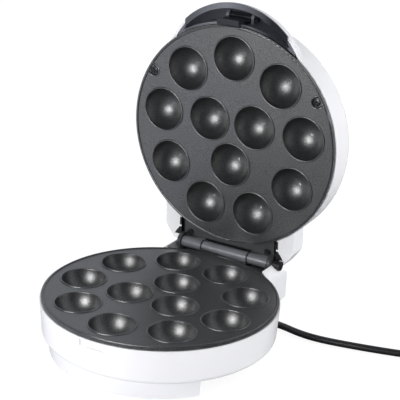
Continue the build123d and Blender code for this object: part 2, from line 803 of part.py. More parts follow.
# ---------------------------------------------------------------- lid shell
nose_lean = 8.5
lens_points = [(-lens_spacing / 2, lens_y), (lens_spacing / 2, lens_y)]
lens_flange_radius = 4.4
lens_flange_depth = 31.0
nose_axis = Plane(origin=lid.from_local_coords(Vector(0, -nose_centre, 0)), x_dir=lid.x_dir, z_dir=lid.z_dir)
tab_inset = 6.1
tab_radius = liner_inner_radius - tab_inset
tab_angle = 13
tab_depth = 19.5               # of the tabs' near face
tab_reach = liner_inner_radius + liner_wall / 2 - tab_radius
tab_points = [polar(tab_radius, front_angle - tab_angle), polar(tab_radius, front_angle + tab_angle)]
tab_pilot_depth = 4.8
lid_face_points = between_cups(face_screw_radius, *face_screw_gaps)
face_boss_radius = 5.4
lid_screw_boss_end = 22.0


def lid_dome(inset, start):
    """Solid dome of the lid about its own axis."""
    with BuildSketch(radial_plane(lid)) as half:
        with BuildLine():
            rim = Line((0, start), (shell_radius - inset, start))
            wall = Line(rim @ 1, (shell_radius - inset, lid_wall_depth))
            corner_end = (shell_radius - lid_corner, lid_wall_depth + lid_corner - inset)
            TangentArc(wall @ 1, corner_end, tangent=(0, 1))
            TangentArc((0, lid_crown - inset), corner_end, tangent=(1, 0))
            Line((0, lid_crown - inset), rim @ 0)
        make_face()
    return revolve(half.sketch, axis=spin(lid), mode=Mode.PRIVATE)


def nose(inset, start, end=nose_crest_depth):
    """Solid nose over the grip: a smaller dome in front of the lid's centre, its wall leaning in."""
    with BuildSketch(radial_plane(nose_axis)) as half:
        with BuildLine():
            rim = Line((0, start), (nose_radius - inset, start))
            wall = Line(rim @ 1, (nose_radius - inset, nose_lip_depth))
            crest = (nose_crest_radius - inset, nose_crest_depth - inset)
            TangentArc(wall @ 1, crest, tangent=(-sin(radians(nose_lean)), cos(radians(nose_lean))))
            top = Line(crest, (0, nose_crest_depth - inset))
            Line(top @ 1, rim @ 0)
        make_face()
        with Locations((0, end)):
            Rectangle(4 * nose_radius, 2 * nose_radius, align=(Align.CENTER, Align.MIN), mode=Mode.SUBTRACT)
    return revolve(half.sketch, axis=spin(nose_axis), mode=Mode.PRIVATE)


def housing(inset, start):
    """Block behind the lid's wall that covers the hinge."""
    wide = housing_half_width - inset
    narrow = housing_narrow_half_width - inset
    inner = outer_ring_radius + inset
    with BuildLine() as outline:
        Polyline(
            (wide, inner), (wide, housing_shoulder - inset / 2), (narrow, housing_end - inset),
            (-narrow, housing_end - inset), (-wide, housing_shoulder - inset / 2), (-wide, inner), close=True,
        )
    with BuildPart() as block:
        with BuildSketch(lid.offset(start)):
            make_face(outline.edges())
        extrude(amount=housing_back - inset - start)
        fillet(block.edges().group_by(spin(lid))[-1], housing_roof_fillet - inset)
        upright = block.edges().filter_by(spin(lid))
        fillet(upright.group_by(Axis(lid.origin, lid.y_dir))[-1], housing_corner_fillet)
    return block.part


with BuildPart() as lid_shell:
    add(nose(0, 0))
    with BuildSketch(lid):
        Circle(2 * shell_radius)
    extrude(amount=nose_lip_depth, mode=Mode.SUBTRACT)
    add(housing(0, housing_face))
    with BuildSketch(lid):
        Circle(shell_radius)
    extrude(amount=plate_thickness, mode=Mode.SUBTRACT)
    add(lid_dome(0, plate_thickness))
    add(lid_dome(shell_wall, 0), mode=Mode.SUBTRACT)
    add(nose(shell_wall, 0), mode=Mode.SUBTRACT)
    seat = leaf_depth + bracket_thickness
    add(housing(housing_wall, seat + housing_wall), mode=Mode.SUBTRACT)
    # bosses: plate, hinge bracket, grip liner
    plate_back = lid.offset(plate_thickness)
    hinge_seat = lid.offset(seat)
    tab_back = lid.offset(tab_depth + liner_wall)
    tab_boss_length = lid_wall_depth + lid_corner - shell_wall - tab_depth - liner_wall
    posts(plate_back, lid_face_points, face_boss_radius, lid_screw_boss_end - plate_thickness)
    posts(hinge_seat, lid_hinge_points, boss_radius, boss_length)
    posts(tab_back, tab_points, boss_radius, tab_boss_length)
    posts(plate_back, lid_face_points, pilot_radius, boss_length, Mode.SUBTRACT)
    posts(hinge_seat, lid_hinge_points, pilot_radius, pilot_depth, Mode.SUBTRACT)
    posts(tab_back, tab_points, pilot_radius, tab_pilot_depth, Mode.SUBTRACT)
    # seat of the hinge leaf, and room round the hinge
    with BuildSketch(lid_side):
        with Locations((outer_ring_radius, -lid_drop)):
            Rectangle(hinge_reach, seat + lid_drop, align=(Align.MIN, Align.MIN))
    extrude(amount=hinge_room, both=True, mode=Mode.SUBTRACT)
    with BuildSketch(hinge_side):
        Circle(trough_radius)
    extrude(amount=hinge_room, both=True, mode=Mode.SUBTRACT)
    with BuildSketch(hinge_side.offset(ear_end)):
        Circle(lead_guard_radius + lead_guard_clearance)
    extrude(amount=hump_half_width - ear_end + knuckle_gap, mode=Mode.SUBTRACT)
    with BuildSketch(lid_side.offset(lid_guard_start - guard_gap)):
        with Locations((guard_arm_y - guard_gap, 0)):
            Rectangle(guard_arm + 2 * guard_gap, 2 * guard_arm_depth, align=(Align.MIN, Align.MIN))
    extrude(amount=lead_guard_middle - lid_guard_start + 2 * guard_gap, mode=Mode.SUBTRACT)
    # indicator windows
    posts(lid.offset(liner_roof_depth), lens_points, lens_radius + 0.1, lid_crown, Mode.SUBTRACT)

# ---------------------------------------------------------------- grip liner
liner_inset = shell_wall + liner_clearance
liner_lip = 1.4
with BuildPart() as grip_hollow:
    add(nose(liner_inset + liner_wall, -nose_lip_depth, liner_roof_depth - liner_wall))
    with BuildSketch(lid.offset(-shell_radius)):
        Circle(liner_inner_radius + liner_wall)
    extrude(amount=2 * shell_radius, mode=Mode.SUBTRACT)

latch_ear_near = latch_half_width + latch_ear_gap
latch_ear_far = latch_ear_near + latch_ear_width
latch_ear_reach = -liner_inner_radius - liner_wall / 2 - latch_pivot_y
with BuildPart() as grip_liner:
    add(nose(liner_inset, 0, liner_roof_depth))
    with BuildSketch(lid):
        Circle(2 * shell_radius)
    extrude(amount=nose_lip_depth, mode=Mode.SUBTRACT)
    with BuildSketch(lid.offset(nose_lip_depth)):
        with Locations((0, -nose_centre)):
            Circle(nose_radius)
        Rectangle(2 * grip_lip_half_width, 4 * shell_radius, mode=Mode.INTERSECT)
    extrude(amount=-liner_lip)
    with BuildSketch(lid.offset(-shell_radius)):
        Circle(liner_inner_radius)
    extrude(amount=2 * shell_radius, mode=Mode.SUBTRACT)
    with BuildSketch(lid):
        with Locations((0, -shell_radius)):
            Rectangle(2 * liner_half_width, shell_radius)
    extrude(amount=shell_radius, both=True, mode=Mode.INTERSECT)
    add(grip_hollow.part, mode=Mode.SUBTRACT)
    # ears that carry the latch
    with BuildSketch(lid_side, mode=Mode.PRIVATE) as latch_ear:
        with Locations((latch_pivot_y, latch_pivot_depth)):
            Circle(latch_ear_radius)
            Rectangle(latch_ear_reach, 2 * latch_ear_radius, align=(Align.MIN, Align.CENTER))
        with Locations((latch_pivot_y, latch_pivot_depth)):
            Circle(latch_pin_radius + pin_clearance, mode=Mode.SUBTRACT)
    mirrored_span(latch_ear.sketch, latch_ear_near, latch_ear_far)
    # tabs for its screws
    with BuildSketch(lid.offset(tab_depth)):
        for angle in (front_angle - tab_angle, front_angle + tab_angle):
            with Locations(polar(tab_radius, angle)):
                Circle(boss_radius)
            with Locations(Location((0, 0, 0), (0, 0, angle))):
                with Locations((tab_radius, 0)):
                    Rectangle(tab_reach, 2 * boss_radius, align=(Align.MIN, Align.CENTER))
            with Locations(polar(tab_radius, angle)):
                Circle(pilot_radius + screw_clearance, mode=Mode.SUBTRACT)
    extrude(amount=liner_wall)

with BuildPart() as grip_screws:
    screws(lid.offset(tab_depth), tab_points, tab_pilot_depth + liner_wall - shank_play)

# ---------------------------------------------------------------- latch
latch_hook_face = -(shell_radius + latch_gap)
latch_inner_face = latch_hook_face - latch_hook_reach
latch_outer_face = latch_inner_face - latch_thickness
hook_top = -notch_top - closed_gap - latch_play
hook_catch = 2.0              # height of the hook's flat end
hook_taper = 0.6
thumb_reach = 2.2
thumb_height = 1.6
with BuildPart() as latch_clip:
    with BuildSketch(lid_side):
        with BuildLine():
            Polyline(
                (latch_inner_face, latch_pivot_depth),
                (latch_inner_face, hook_top),
                (latch_hook_face, hook_top),
                (latch_hook_face, hook_top - hook_catch),
                (latch_inner_face + hook_taper, latch_tip_depth),
                (latch_outer_face - thumb_reach, latch_tip_depth),
                (latch_outer_face - thumb_reach, latch_tip_depth + thumb_height),
                (latch_outer_face, latch_tip_depth + 2 * thumb_height),
                (latch_outer_face, latch_pivot_depth),
                close=True,
            )
        make_face()
        with Locations((latch_pivot_y, latch_pivot_depth)):
            Circle(latch_barrel_radius)
            Circle(latch_pin_radius + pin_clearance, mode=Mode.SUBTRACT)
    extrude(amount=latch_half_width, both=True)

with BuildPart() as latch_pin:
    with BuildSketch(lid_side):
        with Locations((latch_pivot_y, latch_pivot_depth)):
            Circle(latch_pin_radius)
    extrude(amount=latch_ear_far, both=True)

# ---------------------------------------------------------------- indicators
roof_rise = lid_crown - lid_wall_depth - lid_corner
roof_radius = ((shell_radius - lid_corner) ** 2 + roof_rise**2) / (2 * roof_rise)
lens_face = lid_crown - lens_y**2 / (2 * roof_radius) + lens_stand
holder_depth = 27.6
holder_thickness = 1.4
holder_post_x = 20.0
lamp_radius = 1.6
lamp_clearance = 0.2
lens_seat = holder_depth + holder_thickness


def lens(point):
    posts(lid.offset(lens_seat), [point], lens_flange_radius, lens_flange_depth + 0.6 - lens_seat)
    posts(lid.offset(lens_seat), [point], lens_radius, lens_face - lens_seat)
    posts(lid.offset(lens_seat), [point], lamp_radius + lamp_clearance, 3.5, Mode.SUBTRACT)


with BuildPart() as power_lens:
    lens(lens_points[0])
with BuildPart() as ready_lens:
    lens(lens_points[1])

holder_points = [(-holder_post_x, lens_y), (holder_post_x, lens_y)]
with BuildPart() as lamp_holder:
    with BuildSketch(lid.offset(holder_depth)):
        with Locations((0, lens_y)):
            RectangleRounded(2 * holder_post_x + 8, 11, 3)
        with Locations(*lens_points):
            Circle(lamp_radius + lamp_clearance, mode=Mode.SUBTRACT)
        with Locations(*holder_points):
            Circle(pilot_radius, mode=Mode.SUBTRACT)
    extrude(amount=holder_thickness)

with BuildPart() as indicator_lamps:
    posts(lid.offset(holder_depth), lens_points, lamp_radius, 4.6)

with BuildPart() as lamp_holder_screws:
    screws(lid.offset(holder_depth), holder_points, 3.2, head_height=1.2)

# ---------------------------------------------------------------- thermostat, fuse, terminal block, clamp
thermostat_radius = 7.0
thermostat_height = 6.0
thermostat_gap = 2
thermostat_inset = 14.0
thermostat_reach = plate_radius - thermostat_inset


def thermostat_body(frame):
    """Snap disc thermostat held flat against the back of the plate, with two upright tags."""
    at = between_cups(thermostat_reach, thermostat_gap)
    posts(frame.offset(plate_thickness), at, thermostat_radius, thermostat_height)
    tags = [(at[0][0] + side * thermostat_radius / 2, at[0][1]) for side in (-1, 1)]
    posts(frame.offset(plate_thickness + thermostat_height), tags, 1.2, 3)


with BuildPart() as thermostat:
    thermostat_body(base)
with BuildPart() as thermal_cutout:
    thermostat_body(lid)

foot_floor = foot_depth - cover_thickness
block_length = 28.0
block_width = 10.0
block_height = 8.0
block_inset = 9.0             # of the terminal block, from the rear foot's front
block_y = rear_foot_front + block_inset
clamp_inset = 11.0            # of the clamp, from the rear foot's back
clamp_point = (-9.0, rear_foot_back - clamp_inset)
with BuildPart() as terminal_block:
    with BuildSketch(base.offset(foot_floor)):
        with Locations((0, block_y)):
            Rectangle(block_length, block_width)
    extrude(amount=-block_height)
with BuildPart() as cord_clamp:
    with BuildSketch(base.offset(foot_floor)):
        with Locations(clamp_point):
            RectangleRounded(9, 12, 1.5)
    extrude(amount=-5.5)

# ---------------------------------------------------------------- internal wiring
wire_radius = 1.2
wire_bend = 1.8
leg_points = element_leg_points()
leg_end_depth = element_depth + element_bend + element_leg
wire_run_depth = leg_end_depth + 2.6
leg_x = abs(leg_points[0][0])
leg_y = leg_points[0][1]
lead_terminal_x = 11.5
lead_swerve_x = 12.0
lead_swerve_y = 6.0
lead_rise_y = hinge_reach - 7
lead_rise = 12.0
lead_bend = 3.0


def wire(frame, points, radius, bend):
    route = [frame.from_local_coords(Vector(*point)) for point in points]
    with BuildLine() as path:
        FilletPolyline(*route, radius=bend)
    with BuildSketch(Plane(origin=path.line @ 0, z_dir=path.line % 0)) as section:
        Circle(radius)
    sweep(section.sketch, path=path.line)


with BuildPart() as base_wiring:
    for side in (-1, 1):
        wire(
            base,
            [
                (side * leg_x, leg_y, leg_end_depth), (side * leg_x, leg_y, wire_run_depth),
                (side * leg_x, block_y, wire_run_depth), (side * leg_x, block_y, foot_floor - block_height),
            ],
            wire_radius,
            wire_bend,
        )
    # leads of the lid, up the hump on the right (the frame's x runs to the left)
    wire(
        base,
        [
            (-lead_terminal_x, block_y, foot_floor - block_height),
            (-lead_terminal_x, block_y, lead_depth),
            (-lead_x + lead_swerve_x, lead_turn_y - lead_swerve_y, lead_depth),
            (-lead_x, lead_turn_y, lead_depth),
            (-lead_x, lead_rise_y, lead_depth),
            (-lead_x, lead_rise_y, lead_depth - lead_rise),
        ],
        lead_radius,
        lead_bend,
    )

lid_lead_x = lid_guard_start + 2.0
lid_lead_swerve = 10.0
lid_lead_spread = 3
lid_lead_turn = 29.6           # of the leads' bend, from the hinge axis
lid_lead_dip = 21.6            # where they have come nearer to the plate
lid_lead_dip_depth = 16.0
lid_lead_end = 4.0
lid_lead_end_depth = 9.0
lid_lead_slope = 5.0
lid_lead_shift = 1.6
with BuildPart() as lid_wiring:
    for side, spread in ((-1, 0), (1, lid_lead_spread)):
        wire(
            lid,
            [
                (side * leg_x, leg_y, leg_end_depth),
                (side * leg_x, leg_y, wire_run_depth),
                (lid_lead_x - lid_lead_swerve, hinge_reach - lid_lead_turn - 2 * spread, wire_run_depth - 1),
                (lid_lead_x - 2 + spread, hinge_reach - lid_lead_dip, lid_lead_dip_depth),
                (lid_lead_x - lid_lead_shift + spread, hinge_reach - 2 * lid_lead_end, lid_lead_end_depth + lid_lead_slope),
                (lid_lead_x - lid_lead_shift + spread, hinge_reach - lid_lead_end, lid_lead_end_depth),
            ],
            wire_radius,
            wire_bend,
        )

# ---------------------------------------------------------------- mains cord, laid on the ground
# points of the centre line from the strain relief, across and behind the drum's centre, and above the ground
cord_height = cord_radius + 0.05
entry_run = 4.3
relief_tip = ground.to_local_coords(relief_plane.from_local_coords(Vector(0, 0, relief_length)))
entry_turn = ground.to_local_coords(relief_plane.from_local_coords(Vector(0, 0, relief_length + entry_run)))
cord_route = [
    (relief_tip.X, relief_tip.Y, relief_tip.Z),
    (entry_turn.X, entry_turn.Y, entry_turn.Z),
    (58.6, 91.4, 3.75),
    (66.4, 92.1, 3.15),
    (75.0, 91.0, cord_height),
    (85.5, 88.6, cord_height),
    (97.0, 87.3, cord_height),
    (109.0, 87.8, cord_height),
    (120.5, 89.6, cord_height),
    (133.0, 92.2, cord_height),
    (147.0, 95.4, cord_height),
    (162.0, 99.4, cord_height),
    (178.0, 104.0, cord_height),
    (196.0, 110.2, cord_height),
    (213.4, 114.7, cord_height),
]


def corner_radii(points):
    """Radius at each corner: 0.45 of the shorter run, over the tangent of half the turn."""
    radii = []
    for before, corner, after in zip(points, points[1:], points[2:]):
        run_in = corner - before
        run_out = after - corner
        half_turn = radians(run_in.get_angle(run_out)) / 2
        radii.append(0.45 * min(run_in.length, run_out.length) / (sin(half_turn) / cos(half_turn)))
    return radii


cord_points = [ground.from_local_coords(Vector(*point)) for point in cord_route]
cord_radii = corner_radii(cord_points)
print("cord corner radii", [round(radius, 1) for radius in cord_radii])

with BuildPart() as power_cord:
    with BuildLine() as cord_path:
        FilletPolyline(*cord_points, radius=cord_radii)
    with BuildSketch(Plane(origin=cord_points[0], z_dir=cord_path.line % 0)):
        Circle(cord_radius)
    sweep(path=cord_path.line)
cord_run = sum(edge.length for edge in cord_path.edges())
cord_section = pi * cord_radius**2
print("cord run", round(cord_run, 1), "volume over section", round(power_cord.part.volume / cord_section, 1))

# coil: the tube's last run carries on as a straight stub that meets the ring at a tangent
coil_edge = coil_turn_radius + coil_band / 2
stub_clearance = 1.0
stub_length = sqrt(coil_edge**2 - (coil_turn_radius - cord_radius) ** 2) + stub_clearance
coil_way = (cord_points[-1] - cord_points[-2]).normalized()
coil_left = Vector(-coil_way.Y, coil_way.X, 0)
coil_centre = cord_points[-1] + coil_way * stub_length + coil_left * coil_turn_radius
coil_plane = Plane(origin=(coil_centre.X, coil_centre.Y, 0), x_dir=coil_way, z_dir=(0, 0, 1))
coil_base = 0.05
tail_angle = 100              # where the cord leaves the coil, round from where it enters
tail_height = coil_band - cord_radius - 0.6
tail_length = stub_length + 2 * cord_radius
tail_start = polar(coil_turn_radius, front_angle + tail_angle)
tail_point = coil_plane.from_local_coords(Vector(*tail_start, tail_height))
tail_way = coil_plane.x_dir * cos(radians(tail_angle)) + coil_plane.y_dir * sin(radians(tail_angle))
tie_angle = 150
tie_width = 5.0
tie_thickness = 0.9


def tie_loop(band):
    """Flat band round the coil's section."""
    section = radial_plane(coil_plane, tie_angle)
    with BuildSketch(section.offset(-tie_width / 2)) as loop:
        with Locations((coil_turn_radius, coil_base + coil_band / 2)):
            Rectangle(band, band)
            Rectangle(coil_band - 2 * tie_thickness, coil_band - 2 * tie_thickness, mode=Mode.SUBTRACT)
    return extrude(loop.sketch, amount=tie_width, mode=Mode.PRIVATE)


with BuildPart() as cord_coil:
    with BuildSketch(radial_plane(coil_plane)):
        with Locations((coil_turn_radius, coil_base + coil_band / 2)):
            RectangleRounded(coil_band, coil_band, cord_radius)
    revolve(axis=spin(coil_plane))
    with BuildSketch(Plane(origin=cord_points[-1], z_dir=coil_way)):
        Circle(cord_radius)
    extrude(amount=stub_length)
    with BuildSketch(Plane(origin=tail_point, z_dir=tail_way)):
        Circle(cord_radius)
    extrude(amount=tail_length)
    add(tie_loop(coil_band + 2), mode=Mode.SUBTRACT)

with BuildPart() as cord_tie:
    add(tie_loop(coil_band))

plug_width = 34.0
plug_thickness = 2 * tail_height - 2 * coil_base
plug_pin_radius = 2.4
plug_pin_length = 19.0
plug_pin_spacing = 19.0
tail_side = Vector(-tail_way.Y, tail_way.X, 0)
plug_plane = Plane(origin=tail_point + tail_way * tail_length, x_dir=tail_side, z_dir=tail_way)
with BuildPart() as plug_body:
    with BuildSketch(plug_plane):
        RectangleRounded(2.6 * cord_radius, 2.6 * cord_radius, cord_radius)
    with BuildSketch(plug_plane.offset(plug_length * 0.45)):
        RectangleRounded(plug_width * 0.8, plug_thickness * 0.8, 5)
    loft()
    with BuildSketch(plug_plane.offset(plug_length * 0.45)):
        RectangleRounded(plug_width * 0.8, plug_thickness * 0.8, 5)
    with BuildSketch(plug_plane.offset(plug_length)):
        RectangleRounded(plug_width, plug_thickness, 6)
    loft()
with BuildPart() as plug_pins:
    with BuildSketch(plug_plane.offset(plug_length)):
        with GridLocations(plug_pin_spacing, 0, 2, 1):
            Circle(plug_pin_radius)
    extrude(amount=plug_pin_length)

# ---------------------------------------------------------------- files
pieces = {
    "base_shell": base_shell,
    "bottom_cover": bottom_cover,
    "bottom_cover_screws": bottom_cover_screws,
    "rubber_feet": rubber_feet,
    "lower_plate": lower_plate,
    "lower_plate_screws": lower_plate_screws,
    "lower_heating_element": lower_heating_element,
    "lower_element_clips": lower_element_clips,
    "lower_clip_screws": lower_clip_screws,
    "lower_heat_shield": lower_heat_shield,
    "lower_shield_screws": lower_shield_screws,
    "thermostat": thermostat,
    "terminal_block": terminal_block,
    "cord_clamp": cord_clamp,
    "base_wiring": base_wiring,
    "base_hinge_bracket": base_hinge_bracket,
    "base_hinge_screws": base_hinge_screws,
    "base_lead_guard": base_lead_guard,
    "strain_relief": strain_relief,
    "power_cord": power_cord,
    "cord_coil": cord_coil,
    "cord_tie": cord_tie,
    "plug_body": plug_body,
    "plug_pins": plug_pins,
    "lid_shell": lid_shell,
    "upper_plate": upper_plate,
    "upper_plate_screws": upper_plate_screws,
    "upper_heating_element": upper_heating_element,
    "upper_element_clips": upper_element_clips,
    "upper_clip_screws": upper_clip_screws,
    "upper_heat_shield": upper_heat_shield,
    "upper_shield_screws": upper_shield_screws,
    "thermal_cutout": thermal_cutout,
    "lid_wiring": lid_wiring,
    "lid_hinge_bracket": lid_hinge_bracket,
    "lid_hinge_screws": lid_hinge_screws,
    "hinge_pin": hinge_pin,
    "pin_clips": pin_clips,
    "lid_lead_guard": lid_lead_guard,
    "grip_liner": grip_liner,
    "grip_screws": grip_screws,
    "power_lens": power_lens,
    "ready_lens": ready_lens,
    "indicator_lamps": indicator_lamps,
    "lamp_holder": lamp_holder,
    "lamp_holder_screws": lamp_holder_screws,
    "latch_clip": latch_clip,
    "latch_pin": latch_pin,
}
for name, piece in pieces.items():
    piece.part.label = name
    export_step(piece.part, f"parts/{name}.step")
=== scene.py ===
import json
from math import cos, pi, radians, sin, sqrt

import bmesh
import bpy
from mathutils import Matrix, Quaternion, Vector


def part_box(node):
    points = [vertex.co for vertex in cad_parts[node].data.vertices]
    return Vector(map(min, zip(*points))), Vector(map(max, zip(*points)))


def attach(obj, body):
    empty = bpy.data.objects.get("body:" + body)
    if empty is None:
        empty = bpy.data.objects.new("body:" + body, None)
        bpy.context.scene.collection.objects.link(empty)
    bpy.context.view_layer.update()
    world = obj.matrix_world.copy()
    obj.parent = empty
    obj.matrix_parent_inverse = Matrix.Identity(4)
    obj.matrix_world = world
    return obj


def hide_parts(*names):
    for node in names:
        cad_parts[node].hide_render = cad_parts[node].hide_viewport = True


# Looks of the round cake pop maker. Metres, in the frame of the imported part: +Z up, hinge at the rear (+Y).

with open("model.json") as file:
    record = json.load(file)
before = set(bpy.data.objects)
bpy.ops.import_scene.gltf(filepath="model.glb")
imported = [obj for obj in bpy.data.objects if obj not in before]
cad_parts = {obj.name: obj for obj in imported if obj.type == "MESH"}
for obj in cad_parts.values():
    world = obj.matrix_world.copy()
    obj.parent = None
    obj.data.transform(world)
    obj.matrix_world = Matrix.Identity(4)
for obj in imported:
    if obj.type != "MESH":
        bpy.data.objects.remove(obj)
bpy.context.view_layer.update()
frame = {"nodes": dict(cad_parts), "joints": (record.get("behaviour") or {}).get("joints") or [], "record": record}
MM = 0.001


def mm(*values):
    return Vector(values) * MM


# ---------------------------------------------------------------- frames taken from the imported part
joints = {joint["name"]: joint for joint in frame["joints"]}
HINGE = Vector(joints["lid_hinge"]["pos_m"])
OPEN_ANGLE = radians(joints["lid_hinge"]["range_deg"][1])
LATCH_PIVOT = Vector(joints["latch_pivot"]["pos_m"])
RIM_BEAD = 0.9 * MM
CLOSED_GAP = 3.0 * MM
plate_low, plate_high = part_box("lower_plate")
PLATE_RADIUS = (plate_high.x - plate_low.x) / 2
FACE_HEIGHT = plate_high.z - RIM_BEAD
BASE_Y = (plate_low.y + plate_high.y) / 2

# base: origin on the cooking face, axes as the part's; lid: the same as if it were closed, z into the lid
BASE = Matrix.Translation((0, BASE_Y, FACE_HEIGHT))
LID = (
    Matrix.Translation(HINGE)
    @ Matrix.Rotation(-OPEN_ANGLE, 4, "X")
    @ Matrix.Translation(Vector((0, BASE_Y, FACE_HEIGHT + CLOSED_GAP)) - HINGE)
)


# ---------------------------------------------------------------- materials
COATING_DARK = (0.003, 0.0035, 0.005)
COATING_FLECK = (0.026, 0.028, 0.033)
# pale tone painted on sharp rims as a highlight
COATING_RIM_HIGHLIGHT = (0.16, 0.165, 0.18)
LIP_PAINTED_LIGHT_LEFT = -45 * MM              # places along X between which the grip lip's painted highlight and shade change tone
LIP_PAINTED_LIGHT_RIGHT = 35 * MM
LIP_PAINTED_HIGHLIGHT = 0.45                # share of the way where the painted highlight is palest
BRUSHED = (1, 1, 6)


def start_material(name, color, roughness, metallic=0.0):
    material = bpy.data.materials.new(name)
    material.use_nodes = True
    nodes = material.node_tree.nodes
    shader = nodes["Principled BSDF"]
    shader.inputs["Base Color"].default_value = (*color, 1)
    shader.inputs["Roughness"].default_value = roughness
    shader.inputs["Metallic"].default_value = metallic
    return material, nodes, material.node_tree.links, shader


def grain(nodes, links, size, detail=2.0, stretch=(1, 1, 1)):
    """Noise whose spots are about `size` metres across, from 0 to 1."""
    coordinates = nodes.new("ShaderNodeTexCoord")
    mapping = nodes.new("ShaderNodeMapping")
    mapping.inputs["Scale"].default_value = stretch
    noise = nodes.new("ShaderNodeTexNoise")
    noise.inputs["Scale"].default_value = 1 / size
    noise.inputs["Detail"].default_value = detail
    links.new(coordinates.outputs["Object"], mapping.inputs["Vector"])
    links.new(mapping.outputs["Vector"], noise.inputs["Vector"])
    return noise.outputs["Fac"]


def spread(nodes, links, value, low, high, start=0.3, end=0.7):
    """Maps a value from start..end onto low..high."""
    mapped = nodes.new("ShaderNodeMapRange")
    mapped.inputs["From Min"].default_value = start
    mapped.inputs["From Max"].default_value = end
    mapped.inputs["To Min"].default_value = low
    mapped.inputs["To Max"].default_value = high
    links.new(value, mapped.inputs["Value"])
    return mapped.outputs["Result"]


def two_colors(nodes, links, value, first, second, start=0.3, end=0.7):
    """Colour that goes from the first to the second while the value goes from start to end."""
    ramp = nodes.new("ShaderNodeValToRGB")
    ramp.color_ramp.elements[0].position = start
    ramp.color_ramp.elements[0].color = (*first, 1)
    ramp.color_ramp.elements[1].position = end
    ramp.color_ramp.elements[1].color = (*second, 1)
    links.new(value, ramp.inputs["Fac"])
    return ramp.outputs["Color"]


def add_bump(nodes, links, shader, value, depth, strength=1.0):
    bump = nodes.new("ShaderNodeBump")
    bump.inputs["Strength"].default_value = strength
    bump.inputs["Distance"].default_value = depth
    links.new(value, bump.inputs["Height"])
    links.new(bump.outputs["Normal"], shader.inputs["Normal"])


def glossy_white():
    material, nodes, links, shader = start_material("white_shell_plastic", (0.83, 0.83, 0.86), 0.2)
    tint = two_colors(nodes, links, grain(nodes, links, 60 * MM), (0.815, 0.815, 0.85), (0.845, 0.845, 0.87))
    links.new(tint, shader.inputs["Base Color"])
    polish = spread(nodes, links, grain(nodes, links, 25 * MM), 0.17, 0.24)
    links.new(polish, shader.inputs["Roughness"])
    add_bump(nodes, links, shader, grain(nodes, links, 6 * MM, 1.0), 0.03 * MM, 0.25)
    return material


def non_stick():
    """Sprayed dark coating: mica flecks under a clear lacquer, slightly pebbled, with a painted highlight on sharp
    rims.
    """
    material, nodes, links, shader = start_material("non_stick_coating", (0.006, 0.0065, 0.008), 0.38)
    shader.inputs["IOR"].default_value = 2.15
    shader.inputs["Coat Weight"].default_value = 0.4
    shader.inputs["Coat Roughness"].default_value = 0.38
    mica = grain(nodes, links, 0.5 * MM, 3.0)
    speckle = two_colors(nodes, links, mica, COATING_DARK, COATING_FLECK, 0.5, 0.72)
    geometry = nodes.new("ShaderNodeNewGeometry")
    # painted highlight: paler base colour on sharp convex rims
    painted_rim_highlight = spread(nodes, links, geometry.outputs["Pointiness"], 0, 0.6, 0.53, 0.62)
    tone = nodes.new("ShaderNodeMix")
    tone.data_type = "RGBA"
    links.new(painted_rim_highlight, tone.inputs["Factor"])
    links.new(speckle, tone.inputs["A"])
    tone.inputs["B"].default_value = (*COATING_RIM_HIGHLIGHT, 1)
    links.new(tone.outputs["Result"], shader.inputs["Base Color"])
    flecks = spread(nodes, links, grain(nodes, links, 0.8 * MM, 3.0), 0.5, 1.0, 0.35, 0.7)
    links.new(flecks, shader.inputs["Specular IOR Level"])
    polish = spread(nodes, links, grain(nodes, links, 12 * MM), 0.37, 0.43)
    links.new(polish, shader.inputs["Roughness"])
    add_bump(nodes, links, shader, grain(nodes, links, 0.9 * MM, 2.0), 0.06 * MM, 0.4)
    return material


def satin_metal(name="hinge_lacquer", tone=1.0, metallic=0.3, roughness=0.35):
    """Dark lacquered steel of the hinge."""
    dark = [tone * share for share in (0.066, 0.069, 0.075)]
    pale = [tone * share for share in (0.08, 0.083, 0.09)]
    material, nodes, links, shader = start_material(name, dark, roughness, metallic)
    mixed = two_colors(nodes, links, grain(nodes, links, 8 * MM), dark, pale)
    links.new(mixed, shader.inputs["Base Color"])
    polish = spread(nodes, links, grain(nodes, links, 8 * MM), roughness - 0.02, roughness + 0.02)
    links.new(polish, shader.inputs["Roughness"])
    add_bump(nodes, links, shader, grain(nodes, links, 0.6 * MM), 0.02 * MM, 0.08)
    return material


def glossy_dark():
    """Dark plastic of the grip and the latch."""
    material, nodes, links, shader = start_material("dark_grip_plastic", (0.012, 0.013, 0.018), 0.14)
    shader.inputs["IOR"].default_value = 1.8
    polish = spread(nodes, links, grain(nodes, links, 9 * MM), 0.12, 0.22)
    links.new(polish, shader.inputs["Roughness"])
    tone = two_colors(nodes, links, grain(nodes, links, 20 * MM), (0.01, 0.011, 0.015), (0.015, 0.016, 0.021))
    links.new(tone, shader.inputs["Base Color"])
    add_bump(nodes, links, shader, grain(nodes, links, 5 * MM, 1.0), 0.02 * MM, 0.25)
    return material


def grip_recess_painted_light():
    """Fine satin texture inside the grip's recess; its colour, paler than the polished lip, is light painted into
    the shaded recess.
    """
    material, nodes, links, shader = start_material("grip_recess_painted_light_plastic", (0.12, 0.125, 0.15), 0.42)
    tone = two_colors(nodes, links, grain(nodes, links, 14 * MM), (0.11, 0.115, 0.14), (0.14, 0.145, 0.17))
    links.new(tone, shader.inputs["Base Color"])
    polish = spread(nodes, links, grain(nodes, links, 5 * MM), 0.36, 0.5)
    links.new(polish, shader.inputs["Roughness"])
    add_bump(nodes, links, shader, grain(nodes, links, 0.7 * MM), 0.03 * MM, 0.3)
    return material


